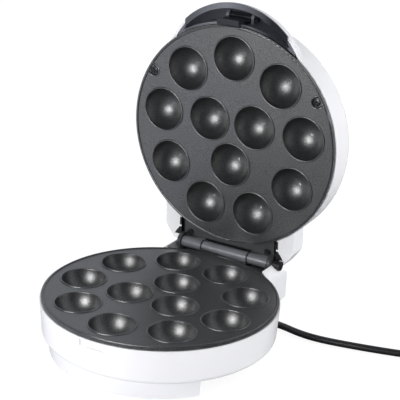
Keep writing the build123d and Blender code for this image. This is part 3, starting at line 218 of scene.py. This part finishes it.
def grip_lip():
    """Polished lip round the grip's recess: dark plastic with a painted highlight and shade along X, palest left
    of the middle and dark at the right.
    """
    material, nodes, links, shader = start_material("grip_lip_painted_highlight", (0.1, 0.105, 0.12), 0.22)
    shader.inputs["Specular IOR Level"].default_value = 0.22
    coordinates = nodes.new("ShaderNodeTexCoord")
    parts = nodes.new("ShaderNodeSeparateXYZ")
    links.new(coordinates.outputs["Object"], parts.inputs[0])
    across = spread(nodes, links, parts.outputs["X"], 0.0, 1.0, LIP_PAINTED_LIGHT_LEFT, LIP_PAINTED_LIGHT_RIGHT)
    # painted highlight and shade: pale left of the middle, dark towards the right
    ramp = nodes.new("ShaderNodeValToRGB")
    stops = ramp.color_ramp.elements
    stops[0].color = (0.08, 0.085, 0.1, 1)
    stops[1].color = (0.014, 0.015, 0.018, 1)
    stops.new(LIP_PAINTED_HIGHLIGHT).color = (0.2, 0.21, 0.24, 1)
    links.new(across, ramp.inputs["Fac"])
    links.new(ramp.outputs["Color"], shader.inputs["Base Color"])
    return material


def matte_black(name, color=(0.008, 0.008, 0.009), roughness=0.5):
    material, nodes, links, shader = start_material(name, color, roughness)
    polish = spread(nodes, links, grain(nodes, links, 4 * MM), roughness - 0.06, roughness + 0.06)
    links.new(polish, shader.inputs["Roughness"])
    add_bump(nodes, links, shader, grain(nodes, links, 0.5 * MM), 0.04 * MM, 0.3)
    return material


def plain_steel(name, color=(0.42, 0.43, 0.45), roughness=0.32):
    material, nodes, links, shader = start_material(name, color, roughness, 1.0)
    streaks = grain(nodes, links, 1.2 * MM, 3.0, BRUSHED)
    polish = spread(nodes, links, streaks, roughness - 0.08, roughness + 0.08)
    links.new(polish, shader.inputs["Roughness"])
    add_bump(nodes, links, shader, grain(nodes, links, 0.4 * MM, 2.0, BRUSHED), 0.01 * MM, 0.2)
    return material


def clear_plastic(name, color):
    material, nodes, links, shader = start_material(name, color, 0.12)
    shader.inputs["Transmission Weight"].default_value = 0.55
    shader.inputs["IOR"].default_value = 1.49
    links.new(spread(nodes, links, grain(nodes, links, 2 * MM), 0.08, 0.16), shader.inputs["Roughness"])
    return material


MATERIALS = {
    "white_shell": glossy_white(),
    "coated_plate": non_stick(),
    "hinge_metal": satin_metal(),
    "steel_screws": plain_steel("screw_steel", (0.075, 0.078, 0.084), 0.36),
    "heater_steel": plain_steel("heater_steel"),
    "dark_grip": glossy_dark(),
    "black_plastic": matte_black("black_plastic"),
    "wire_insulation": matte_black("wire_sleeve", (0.6, 0.6, 0.57), 0.6),
    "cord_sheath": matte_black("cord_sheath", (0.011, 0.011, 0.012), 0.42),
    "foot_rubber": matte_black("foot_rubber", (0.012, 0.012, 0.012), 0.75),
    "red_lens": clear_plastic("red_lens", (0.6, 0.04, 0.03)),
    "green_lens": clear_plastic("green_lens", (0.05, 0.45, 0.12)),
    "lamp_glass": clear_plastic("lamp_glass", (0.85, 0.84, 0.8)),
    "plug_metal": plain_steel("plug_metal", (0.72, 0.72, 0.74), 0.24),
}


def dress(piece, slot):
    """One material all over, the one for this slot."""
    piece.data.materials.clear()
    piece.data.materials.append(MATERIALS[slot])


for row in frame["record"]["subparts"]:
    dress(frame["nodes"][row["node"]], row["material_slot"])


def dress_faces(piece, material, chosen):
    """A second material on the faces whose middle the test chooses."""
    piece.data.materials.append(material)
    second = len(piece.data.materials) - 1
    for face in piece.data.polygons:
        if chosen(piece.matrix_world @ face.center):
            face.material_index = second


def round_edges(piece, width):
    """Rounds the sharp edges without changing the piece's flat faces."""
    bevel = piece.modifiers.new("rounded_edges", "BEVEL")
    bevel.width = width
    bevel.segments = 3
    bevel.limit_method = "ANGLE"
    bevel.angle_limit = radians(50)
    bevel.harden_normals = False


LIP_DEPTH = 1.0 * MM
LIP_EDGE = 1.1 * MM
TO_LID = LID.inverted()
BARREL_REACH = 5.6 * MM
# the hinge lacquer again, 3.4 times paler on the barrels as a painted highlight
barrel_painted_highlight = satin_metal("hinge_barrel_painted_highlight", 3.4, 0.4, 0.3)
bpy.context.view_layer.update()
liner = frame["nodes"]["grip_liner"]
# recess faces get the paler colour that paints light into the shaded recess
dress_faces(liner, grip_recess_painted_light(), lambda place: (TO_LID @ place).z > LIP_DEPTH)
# lip faces get the painted highlight and shade along X
dress_faces(liner, grip_lip(), lambda place: (TO_LID @ place).z <= LIP_DEPTH)
round_edges(liner, LIP_EDGE)
dress(frame["nodes"]["latch_pin"], "black_plastic")
# barrel faces near the hinge axis get the paler lacquer, a painted highlight
for word in ("lid_hinge_bracket", "base_hinge_bracket"):
    dress_faces(frame["nodes"][word], barrel_painted_highlight, lambda place: (place - HINGE).yz.length < BARREL_REACH)


# ---------------------------------------------------------------- dark sheets painted as the shade in the hinge's troughs and gaps
HINGE_REACH = HINGE.y - BASE_Y
HINGE_RISE = HINGE.z - FACE_HEIGHT
TROUGH_RADIUS = 8.0 * MM
SHADE_SHEET = 0.12 * MM
SHADE_SHEET_GAP = 0.06 * MM
LEAF_SEAT = 4.7 * MM             # back of the lid's hinge leaf
HOUSING_FACE = 1.0 * MM          # front of the lid's hinge housing
CUTOUT_HALF = 23.9 * MM
LEAF_HALF = 46.5 * MM
HINGE_ROOM = 49.2 * MM
LEAF_EDGE = LEAF_HALF + 0.1 * MM
LID_ARC = (119, 84)              # degrees round the hinge axis that the troughs' dark sheets of painted shade cover
BASE_ARC = (254, 311)
SEAT_START = 5.3 * MM


def new_piece(name, mesh_data, slot, body):
    """Object made of a finished bmesh, dressed and riding on its body."""
    mesh = bpy.data.meshes.new(name)
    mesh_data.to_mesh(mesh)
    mesh_data.free()
    piece = bpy.data.objects.new(name, mesh)
    bpy.context.scene.collection.objects.link(piece)
    dress(piece, slot)
    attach(piece, body)
    return piece


def prism(name, outline, start, end, place, slot, body):
    """Outline (two coordinates) drawn out from start to end along the third one, which comes first."""
    shape = bmesh.new()
    near = [shape.verts.new(place(start, *point)) for point in outline]
    far = [shape.verts.new(place(end, *point)) for point in outline]
    shape.faces.new(near)
    shape.faces.new(list(reversed(far)))
    for index in range(len(outline)):
        after = (index + 1) % len(outline)
        shape.faces.new((near[after], near[index], far[index], far[after]))
    bmesh.ops.recalc_face_normals(shape, faces=shape.faces)
    return new_piece(name, shape, slot, body)


def strip(line, thickness):
    """Closed outline of a thin strip on one side of a line of points."""
    offsets = []
    for index, point in enumerate(line):
        before = Vector(line[max(index - 1, 0)])
        after = Vector(line[min(index + 1, len(line) - 1)])
        along = (after - before).normalized()
        offsets.append(Vector(point) + Vector((-along.y, along.x)) * thickness)
    return [Vector(point) for point in line] + list(reversed(offsets))


def lid_side_on(x, y, z):
    return LID @ Vector((x, y, z))


def base_side_on(x, y, z):
    return BASE @ Vector((x, y, z))


def lid_face_on(z, x, y):
    return LID @ Vector((x, y, z))


def trough_arc(radius, start, end, steps=14):
    """Points of an arc round the hinge axis, as y and z from it, with angles in degrees."""
    angles = [radians(start + (end - start) * step / steps) for step in range(steps + 1)]
    return [(HINGE_REACH + radius * cos(angle), radius * sin(angle)) for angle in angles]


# dark sheets on the troughs round the barrels: painted shade of the gap between barrel and trough
LID_DROP = CLOSED_GAP - HINGE_RISE
SHADE_SHEET_RADIUS = TROUGH_RADIUS - SHADE_SHEET_GAP - SHADE_SHEET
lid_arc = [(y, z - LID_DROP) for y, z in trough_arc(SHADE_SHEET_RADIUS, *LID_ARC)]
seat_line = [(HINGE_REACH - SEAT_START, LEAF_SEAT - SHADE_SHEET - SHADE_SHEET_GAP)] + lid_arc
seat_outline = strip(seat_line, SHADE_SHEET)
prism("lid_trough_painted_shade", seat_outline, -CUTOUT_HALF, CUTOUT_HALF, lid_side_on, "black_plastic", "lid")

base_arc = [(y, z + HINGE_RISE) for y, z in trough_arc(SHADE_SHEET_RADIUS, *BASE_ARC)]
base_outline = strip(base_arc, -SHADE_SHEET)
prism("base_trough_painted_shade", base_outline, -HINGE_ROOM, HINGE_ROOM, base_side_on, "black_plastic", "base")

# dark pieces beside the hinge leaf and on the housing's side walls: painted shade of the lid housing's inside
SHORT_SHADE_OUTLINE = [(49.4, 88.3), (50.9, 88.3), (51.1, 95.8), (49.4, 95.8)]
SHADE_OUTLINE = [(49.4, 97.8), (51.2, 97.8), (54.6, 102.4), (56.3, 105.4), (49.4, 105.4)]
SHADE_FRONT = HOUSING_FACE - 0.5 * MM
SHADE_BACK = HOUSING_FACE - 0.02 * MM
SEAT_BACK = LEAF_SEAT - SHADE_SHEET_GAP
GAP_START = 88.4 * MM
GAP_END = 104.2 * MM
for side, word in ((-1, "left"), (1, "right")):
    for part, points in (("lower", SHADE_OUTLINE), ("upper", SHORT_SHADE_OUTLINE)):
        gap_shade = [(side * x * MM, y * MM) for x, y in points]
        gap_shade_name = word + "_" + part + "_hinge_gap_shade"
        prism(gap_shade_name, gap_shade, SHADE_FRONT, SHADE_BACK, lid_face_on, "black_plastic", "lid")
    gap = [
        (side * LEAF_EDGE, GAP_START),
        (side * HINGE_ROOM, GAP_START),
        (side * HINGE_ROOM, GAP_END),
        (side * LEAF_EDGE, GAP_END),
    ]
    wall = [
        (GAP_START, SHADE_FRONT),
        (GAP_END, SHADE_FRONT),
        (GAP_END, SEAT_BACK),
        (GAP_START, SEAT_BACK),
    ]
    near, far = sorted((side * HINGE_ROOM, side * (HINGE_ROOM - SHADE_SHEET)))
    prism(word + "_gap_wall_painted_shade", wall, near, far, lid_side_on, "black_plastic", "lid")
    prism(word + "_leaf_gap_painted_shade", gap, SEAT_BACK - SHADE_SHEET, SEAT_BACK, lid_face_on, "black_plastic", "lid")


# ---------------------------------------------------------------- screws of the lid's plate, and their arches
# sizes in millimetres, angles in degrees, depths into the lid from its plate's face
SCREW_REACH = 93.3
SCREW_ANGLES = (-30, 210)
SCREW_TWISTS = (20, 65)
SCREW_SEGMENTS = 64
HEAD_RINGS = 24
HEAD_RADIUS = 2.9
HEAD_FACE = 0.15
HEAD_SEAT = 1.38
HEAD_DOME = 0.35
SHANK_RADIUS = 1.45
SHANK_END = 12.0
SLOT_HALF = 0.36
SLOT_REACH = 1.75
SLOT_DEPTH = 0.8
ARCH_RADIUS = 5.2
ARCH_END = 99.2
ARCH_TUBE = 0.65
# thin dark tube inside each arch, painted as its shadow
SHADOW_TUBE = 0.5
SHADOW_INSET = 1.0


def lid_polar(reach, angle, across=0.0):
    """Point of the plate's face at this distance and angle from its centre, and so far across."""
    turn = radians(angle)
    return Vector((reach * cos(turn) - across * sin(turn), reach * sin(turn) + across * cos(turn), 0))


def screw_depth(x, y):
    """Depth of the head's face: a low dome with a cross recess."""
    out = sqrt(x * x + y * y)
    dome = HEAD_FACE + HEAD_DOME * (out / HEAD_RADIUS) ** 3
    if out < SLOT_REACH and min(abs(x), abs(y)) < SLOT_HALF:
        return dome + SLOT_DEPTH * (1 - (out / SLOT_REACH) ** 4)
    return dome


def cross_screw(centre, twist):
    """Domed head with a cross recess, and its shank."""
    shape = bmesh.new()
    rings = []
    segments = SCREW_SEGMENTS
    for step in range(1, HEAD_RINGS + 1):
        reach = HEAD_RADIUS * step / HEAD_RINGS
        ring = []
        for turn in range(segments):
            angle = 2 * pi * turn / segments
            x, y = reach * cos(angle), reach * sin(angle)
            across = Vector((cos(angle + twist), sin(angle + twist), 0)) * reach
            point = centre + across + Vector((0, 0, screw_depth(x, y)))
            ring.append(shape.verts.new(LID @ (point * MM)))
        rings.append(ring)
    for reach, depth in ((HEAD_RADIUS, HEAD_SEAT), (SHANK_RADIUS, HEAD_SEAT), (SHANK_RADIUS, SHANK_END)):
        ring = []
        for turn in range(segments):
            angle = 2 * pi * turn / segments + twist
            point = centre + Vector((cos(angle) * reach, sin(angle) * reach, depth))
            ring.append(shape.verts.new(LID @ (point * MM)))
        rings.append(ring)
    middle = shape.verts.new(LID @ ((centre + Vector((0, 0, HEAD_FACE + SLOT_DEPTH))) * MM))
    tip = shape.verts.new(LID @ ((centre + Vector((0, 0, SHANK_END + 1))) * MM))
    for turn in range(segments):
        after = (turn + 1) % segments
        shape.faces.new((middle, rings[0][turn], rings[0][after]))
        shape.faces.new((rings[-1][turn], tip, rings[-1][after]))
        for inner, outer in zip(rings, rings[1:]):
            shape.faces.new((inner[turn], outer[turn], outer[after], inner[after]))
    bmesh.ops.recalc_face_normals(shape, faces=shape.faces)
    return shape


def join_shapes(shapes):
    """One bmesh made of several, which it frees."""
    whole = bmesh.new()
    for shape in shapes:
        copy = bpy.data.meshes.new("part_of_whole")
        shape.to_mesh(copy)
        shape.free()
        whole.from_mesh(copy)
        bpy.data.meshes.remove(copy)
    return whole


screw_shapes = []
for angle, twist in zip(SCREW_ANGLES, SCREW_TWISTS):
    screw_shapes.append(cross_screw(lid_polar(SCREW_REACH, angle), radians(twist)))
plate_screws = new_piece("cross_head_plate_screws", join_shapes(screw_shapes), "steel_screws", "lid")
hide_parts("upper_plate_screws")


def tube_mesh(points, radius, segments=10):
    """Round bead along a line of points on the lid's plate face."""
    shape = bmesh.new()
    rings = []
    for index, point in enumerate(points):
        before = points[max(index - 1, 0)]
        after = points[min(index + 1, len(points) - 1)]
        along = (after - before).normalized()
        side = Vector((-along.y, along.x, 0))
        ring = []
        for turn in range(segments):
            angle = 2 * pi * turn / segments
            spot = point + side * radius * cos(angle) + Vector((0, 0, radius * sin(angle)))
            ring.append(shape.verts.new(LID @ (spot * MM)))
        rings.append(ring)
    for near, far in zip(rings, rings[1:]):
        for turn in range(segments):
            after = (turn + 1) % segments
            shape.faces.new((near[turn], near[after], far[after], far[turn]))
    shape.faces.new(rings[0])
    shape.faces.new(rings[-1])
    bmesh.ops.recalc_face_normals(shape, faces=shape.faces)
    for face in shape.faces:
        face.smooth = True
    return shape


def arch_line(angle, radius):
    """Round the screw on the plate's inner side, open towards the plate's edge."""
    line = [lid_polar(ARCH_END, angle, -radius)]
    for step in range(13):
        turn = radians(-90 - 180 * step / 12)
        line.append(lid_polar(SCREW_REACH + radius * cos(turn), angle, radius * sin(turn)))
    line.append(lid_polar(ARCH_END, angle, radius))
    return line


for angle, word in zip(SCREW_ANGLES, ("right", "left")):
    arch = tube_mesh(arch_line(angle, ARCH_RADIUS), ARCH_TUBE)
    new_piece(word + "_screw_arch", arch, "coated_plate", "lid")
    # dark tube just inside the arch: painted shadow
    painted_shadow = tube_mesh(arch_line(angle, ARCH_RADIUS - SHADOW_INSET), SHADOW_TUBE)
    new_piece(word + "_arch_painted_shadow", painted_shadow, "black_plastic", "lid")


# ---------------------------------------------------------------- washers between the hinge's barrels
BARREL_RADIUS = 5.0 * MM
WASHER_STAND = 0.12 * MM
WASHER_SINK = 0.5 * MM
WASHER_SPAN = (23.0 * MM, 24.5 * MM)


def ring_piece(name, inner, outer, start, end, slot, body, segments=48):
    """Flat ring round the hinge axis, between two places along it."""
    shape = bmesh.new()
    loops = []
    for x, radius in ((start, inner), (start, outer), (end, outer), (end, inner)):
        loop = []
        for turn in range(segments):
            angle = 2 * pi * turn / segments
            loop.append(shape.verts.new(HINGE + Vector((x, radius * cos(angle), radius * sin(angle)))))
        loops.append(loop)
    for index in range(4):
        near, far = loops[index], loops[(index + 1) % 4]
        for turn in range(segments):
            after = (turn + 1) % segments
            shape.faces.new((near[turn], near[after], far[after], far[turn]))
    bmesh.ops.recalc_face_normals(shape, faces=shape.faces)
    return new_piece(name, shape, slot, body)


for side, word in ((-1, "left"), (1, "right")):
    near, far = sorted(side * place for place in WASHER_SPAN)
    outer = BARREL_RADIUS + WASHER_STAND
    inner = BARREL_RADIUS - WASHER_SINK
    ring_piece(word + "_hinge_washer", inner, outer, near, far, "black_plastic", "base")


# ---------------------------------------------------------------- mains cord
# its points, across, behind the base's centre and above the floor, in millimetres
CORD_RADIUS = 3.0 * MM
CORD_HEIGHT = CORD_RADIUS + 0.05 * MM
CORD_ROUTE = [
    (58.6, 91.4, 3.75),
    (66.4, 92.1, 3.15),
    (75.0, 91.0, 3.05),
    (85.5, 88.6, 3.05),
    (97.0, 87.3, 3.05),
    (109.0, 87.8, 3.05),
    (120.5, 89.6, 3.05),
    (133.0, 92.2, 3.05),
    (147.0, 95.4, 3.05),
    (162.0, 99.4, 3.05),
    (178.0, 104.0, 3.05),
    (196.0, 110.2, 3.05),
    (213.4, 114.7, 3.05),
]
RELIEF_POINT = (26.0, 79.2, 10.5)
RELIEF_HEADING = radians(21.7)
RELIEF_DIP = radians(11.8)
RELIEF_LENGTH = 24.0
ENTRY_RUN = 4.3
COIL_TURN_RADIUS = 33.0
COIL_BAND = 12.4
TAIL_ANGLE = 100


def ground_point(x, y, z):
    return Vector((x * MM, BASE_Y + y * MM, z * MM))


relief_way = Vector(
    (cos(RELIEF_HEADING) * cos(RELIEF_DIP), sin(RELIEF_HEADING) * cos(RELIEF_DIP), -sin(RELIEF_DIP))
)
relief_point = ground_point(*RELIEF_POINT)
cord_exit = relief_point + relief_way * RELIEF_LENGTH * MM
route = [cord_exit, cord_exit + relief_way * ENTRY_RUN * MM] + [ground_point(*point) for point in CORD_ROUTE]

# coil beyond the end of the route, which meets it at a tangent
COIL_EDGE = COIL_TURN_RADIUS + COIL_BAND / 2
STUB = sqrt(COIL_EDGE**2 - (COIL_TURN_RADIUS - CORD_RADIUS / MM) ** 2) + 1.0
TAIL = STUB + 2 * CORD_RADIUS / MM
TURN_STEP = 30
OUTER_TURN = COIL_TURN_RADIUS + 3.1
INNER_TURN = COIL_TURN_RADIUS - 3.0
LAYER_RISE = 6.1
TAIL_HEIGHT = COIL_BAND - CORD_RADIUS / MM - 0.6
TAIL_SHARES = (0.35, 0.7, 1.0)
INWARDS = (255, 345)             # degrees round the coil between which the cord changes turn or layer
RISE = (525, 615)
OUTWARDS = (885, 975)
coil_way = (route[-1] - route[-2]).normalized()
coil_left = Vector((-coil_way.y, coil_way.x, 0))
coil_centre = route[-1] + (coil_way * STUB + coil_left * COIL_TURN_RADIUS) * MM
coil_centre.z = 0


def eased(value, start, end):
    """0 up to start, 1 from end on, and a smooth change between them."""
    share = min(max((value - start) / (end - start), 0), 1)
    return share * share * (3 - 2 * share)


def on_coil(sweep, radius, height):
    """A point on the coil, `sweep` degrees round from where the cord comes in."""
    turn = radians(sweep - 90)
    out = coil_way * cos(turn) * radius + coil_left * sin(turn) * radius
    return coil_centre + out * MM + Vector((0, 0, height * MM))


def coil_points():
    """Outer and inner turn on the floor, then inner and outer turn on top of them."""
    points = []
    last = TAIL_ANGLE + 3 * 360
    sweep = 0
    while sweep <= last:
        inwards = eased(sweep, *INWARDS)
        outwards = eased(sweep, *OUTWARDS)
        rise = eased(sweep, *RISE)
        radius = OUTER_TURN + (INNER_TURN - OUTER_TURN) * (inwards - outwards)
        height = CORD_HEIGHT / MM + LAYER_RISE * rise
        points.append(on_coil(sweep, radius, height))
        sweep += TURN_STEP
    return points


tail_start = on_coil(TAIL_ANGLE, COIL_TURN_RADIUS, TAIL_HEIGHT)
tail_turn = radians(TAIL_ANGLE)
tail_way = coil_way * cos(tail_turn) + coil_left * sin(tail_turn)
plug_end = tail_start + tail_way * TAIL * MM


def smooth_curve(name, points, radius):
    """Round tube along one NURBS line with these control points."""
    data = bpy.data.curves.new(name, "CURVE")
    data.dimensions = "3D"
    data.bevel_depth = radius
    data.bevel_resolution = 6
    data.resolution_u = 10
    data.use_fill_caps = True
    spline = data.splines.new("NURBS")
    spline.points.add(len(points) - 1)
    for slot_point, point in zip(spline.points, points):
        slot_point.co = (*point, 1)
    spline.order_u = 3
    spline.use_endpoint_u = True
    curve = bpy.data.objects.new(name, data)
    bpy.context.scene.collection.objects.link(curve)
    return curve


tail = [tail_start + tail_way * share * TAIL * MM for share in TAIL_SHARES]
cord_line = route + coil_points() + tail
cord = smooth_curve("mains_cord", cord_line, CORD_RADIUS)
dress(cord, "cord_sheath")
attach(cord, "base")
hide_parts("power_cord", "cord_coil")

# ---------------------------------------------------------------- floor, world, lights and camera
CAMERA_PLACE = (0.53552, -0.88338, 0.51911)
CAMERA_AZIMUTH = radians(30.195)
CAMERA_ELEVATION = radians(20.741)
CAMERA_ROLL = radians(2.512)
CAMERA_LENS = 119.28
FLOOR_SIZE = 8
FLOOR_GLOW = 1.12
FLOOR_SEEN = 0.8                 # share of the glow in what the camera sees of the floor
NEAR_SHEEN = (0.04, 1.0, -1.1, -0.35)     # strength from and to, between these places on Y
LEFT_SHEEN = (0.95, 0.08, -0.5, 0.08)     # the same on X
WORLD_LIGHT = 0.29
WORLD_DARK = 0.06
WORLD_PALE = 0.52
WORLD_TURN = (-0.25, 0.25)


def add_floor():
    """White sweep: glows a little for the camera, and in reflections ends in front of the object."""
    bpy.ops.mesh.primitive_plane_add(size=FLOOR_SIZE, location=(0, 0, 0))
    floor = bpy.context.object
    floor.name = "floor"
    material, nodes, links, shader = start_material("pale_floor", (0.9, 0.9, 0.91), 0.6)
    floor.data.materials.append(material)
    rays = nodes.new("ShaderNodeLightPath")
    glow = nodes.new("ShaderNodeEmission")
    glow.inputs["Color"].default_value = (1, 1, 1, 1)
    glow.inputs["Strength"].default_value = FLOOR_GLOW
    seen = nodes.new("ShaderNodeMath")
    seen.operation = "MULTIPLY"
    seen.inputs[1].default_value = FLOOR_SEEN
    links.new(rays.outputs["Is Camera Ray"], seen.inputs[0])
    direct = nodes.new("ShaderNodeMixShader")
    links.new(seen.outputs["Value"], direct.inputs["Fac"])
    links.new(shader.outputs["BSDF"], direct.inputs[1])
    links.new(glow.outputs["Emission"], direct.inputs[2])
    place = nodes.new("ShaderNodeTexCoord")
    parts = nodes.new("ShaderNodeSeparateXYZ")
    links.new(place.outputs["Object"], parts.inputs["Vector"])
    near_part = spread(nodes, links, parts.outputs["Y"], *NEAR_SHEEN)
    left_part = spread(nodes, links, parts.outputs["X"], *LEFT_SHEEN)
    table_light = nodes.new("ShaderNodeMath")
    table_light.operation = "MULTIPLY"
    links.new(near_part, table_light.inputs[0])
    links.new(left_part, table_light.inputs[1])
    sheen = nodes.new("ShaderNodeEmission")
    sheen.inputs["Color"].default_value = (0.9, 0.95, 1.04, 1)
    links.new(table_light.outputs["Value"], sheen.inputs["Strength"])
    mixed = nodes.new("ShaderNodeMixShader")
    links.new(rays.outputs["Is Glossy Ray"], mixed.inputs["Fac"])
    links.new(direct.outputs["Shader"], mixed.inputs[1])
    links.new(sheen.outputs["Emission"], mixed.inputs[2])
    links.new(mixed.outputs["Shader"], nodes["Material Output"].inputs["Surface"])


def set_world():
    """White where seen directly, dimmer as a light; mirrored, pale behind and dark in front."""
    world = bpy.data.worlds.new("studio")
    bpy.context.scene.world = world
    world.use_nodes = True
    nodes = world.node_tree.nodes
    links = world.node_tree.links
    lit = nodes["Background"]
    lit.inputs["Color"].default_value = (1, 1, 1, 1)
    lit.inputs["Strength"].default_value = WORLD_LIGHT
    white = nodes.new("ShaderNodeBackground")
    white.inputs["Color"].default_value = (1, 1, 1, 1)
    white.inputs["Strength"].default_value = 1.0
    way = nodes.new("ShaderNodeTexCoord")
    parts = nodes.new("ShaderNodeSeparateXYZ")
    links.new(way.outputs["Generated"], parts.inputs["Vector"])
    sweep = spread(nodes, links, parts.outputs["Y"], WORLD_DARK, WORLD_PALE, *WORLD_TURN)
    reflected = nodes.new("ShaderNodeBackground")
    reflected.inputs["Color"].default_value = (0.92, 0.96, 1.03, 1)
    links.new(sweep, reflected.inputs["Strength"])
    rays = nodes.new("ShaderNodeLightPath")
    direct = nodes.new("ShaderNodeMath")
    direct.operation = "MAXIMUM"
    links.new(rays.outputs["Is Camera Ray"], direct.inputs[0])
    links.new(rays.outputs["Is Transmission Ray"], direct.inputs[1])
    mirrored = nodes.new("ShaderNodeMixShader")
    links.new(rays.outputs["Is Glossy Ray"], mirrored.inputs["Fac"])
    links.new(lit.outputs["Background"], mirrored.inputs[1])
    links.new(reflected.outputs["Background"], mirrored.inputs[2])
    mixed = nodes.new("ShaderNodeMixShader")
    links.new(direct.outputs["Value"], mixed.inputs["Fac"])
    links.new(mirrored.outputs["Shader"], mixed.inputs[1])
    links.new(white.outputs["Background"], mixed.inputs[2])
    links.new(mixed.outputs["Shader"], nodes["World Output"].inputs["Surface"])


def add_light(name, place, target, width, height, power, mirrored):
    """Soft round lamp that looks at the target; only a mirrored one shows in glossy surfaces."""
    data = bpy.data.lights.new(name, "AREA")
    data.shape = "ELLIPSE"
    data.size = width
    data.size_y = height
    data.energy = power
    lamp = bpy.data.objects.new(name, data)
    bpy.context.scene.collection.objects.link(lamp)
    lamp.location = place
    lamp.visible_glossy = mirrored
    lamp.rotation_mode = "QUATERNION"
    lamp.rotation_quaternion = (Vector(target) - Vector(place)).to_track_quat("-Z", "Y")


def add_camera():
    data = bpy.data.cameras.new("camera")
    data.lens = CAMERA_LENS
    data.sensor_width = 36
    camera = bpy.data.objects.new("camera", data)
    bpy.context.scene.collection.objects.link(camera)
    camera.location = CAMERA_PLACE
    level = cos(CAMERA_ELEVATION)
    back = Vector((sin(CAMERA_AZIMUTH) * level, -cos(CAMERA_AZIMUTH) * level, sin(CAMERA_ELEVATION)))
    camera.rotation_mode = "QUATERNION"
    camera.rotation_quaternion = (-back).to_track_quat("-Z", "Y") @ Quaternion((0, 0, 1), CAMERA_ROLL)
    bpy.context.scene.camera = camera


# name, place, target, width, height, power, mirrored
LAMPS = [
    ("key", (-0.09, -0.80, 0.37), (0, 0, 0.12), 0.5, 0.48, 4.9, True),
    ("back_right", (0.75, 0.28, 0.5), (0, 0, 0.05), 0.16, 0.16, 0.75, False),
    ("front_left", (-1.05, -0.6, 0.25), (0, 0, 0.1), 0.8, 0.6, 3.0, False),
    ("right_fill", (1.2, 0.4, 0.14), (0, 0, 0.12), 0.7, 0.5, 6.0, False),
    ("top_right_fill", (0.9, 0.5, 0.9), (0, 0, 0.12), 0.6, 0.6, 4.6, False),
    ("back_fill", (-0.5, 1.4, 0.7), (0, 0, 0.12), 0.9, 0.9, 7.0, False),
]

add_floor()
set_world()
for lamp in LAMPS:
    add_light(*lamp)
add_camera()
bpy.context.scene.view_settings.view_transform = "Standard"
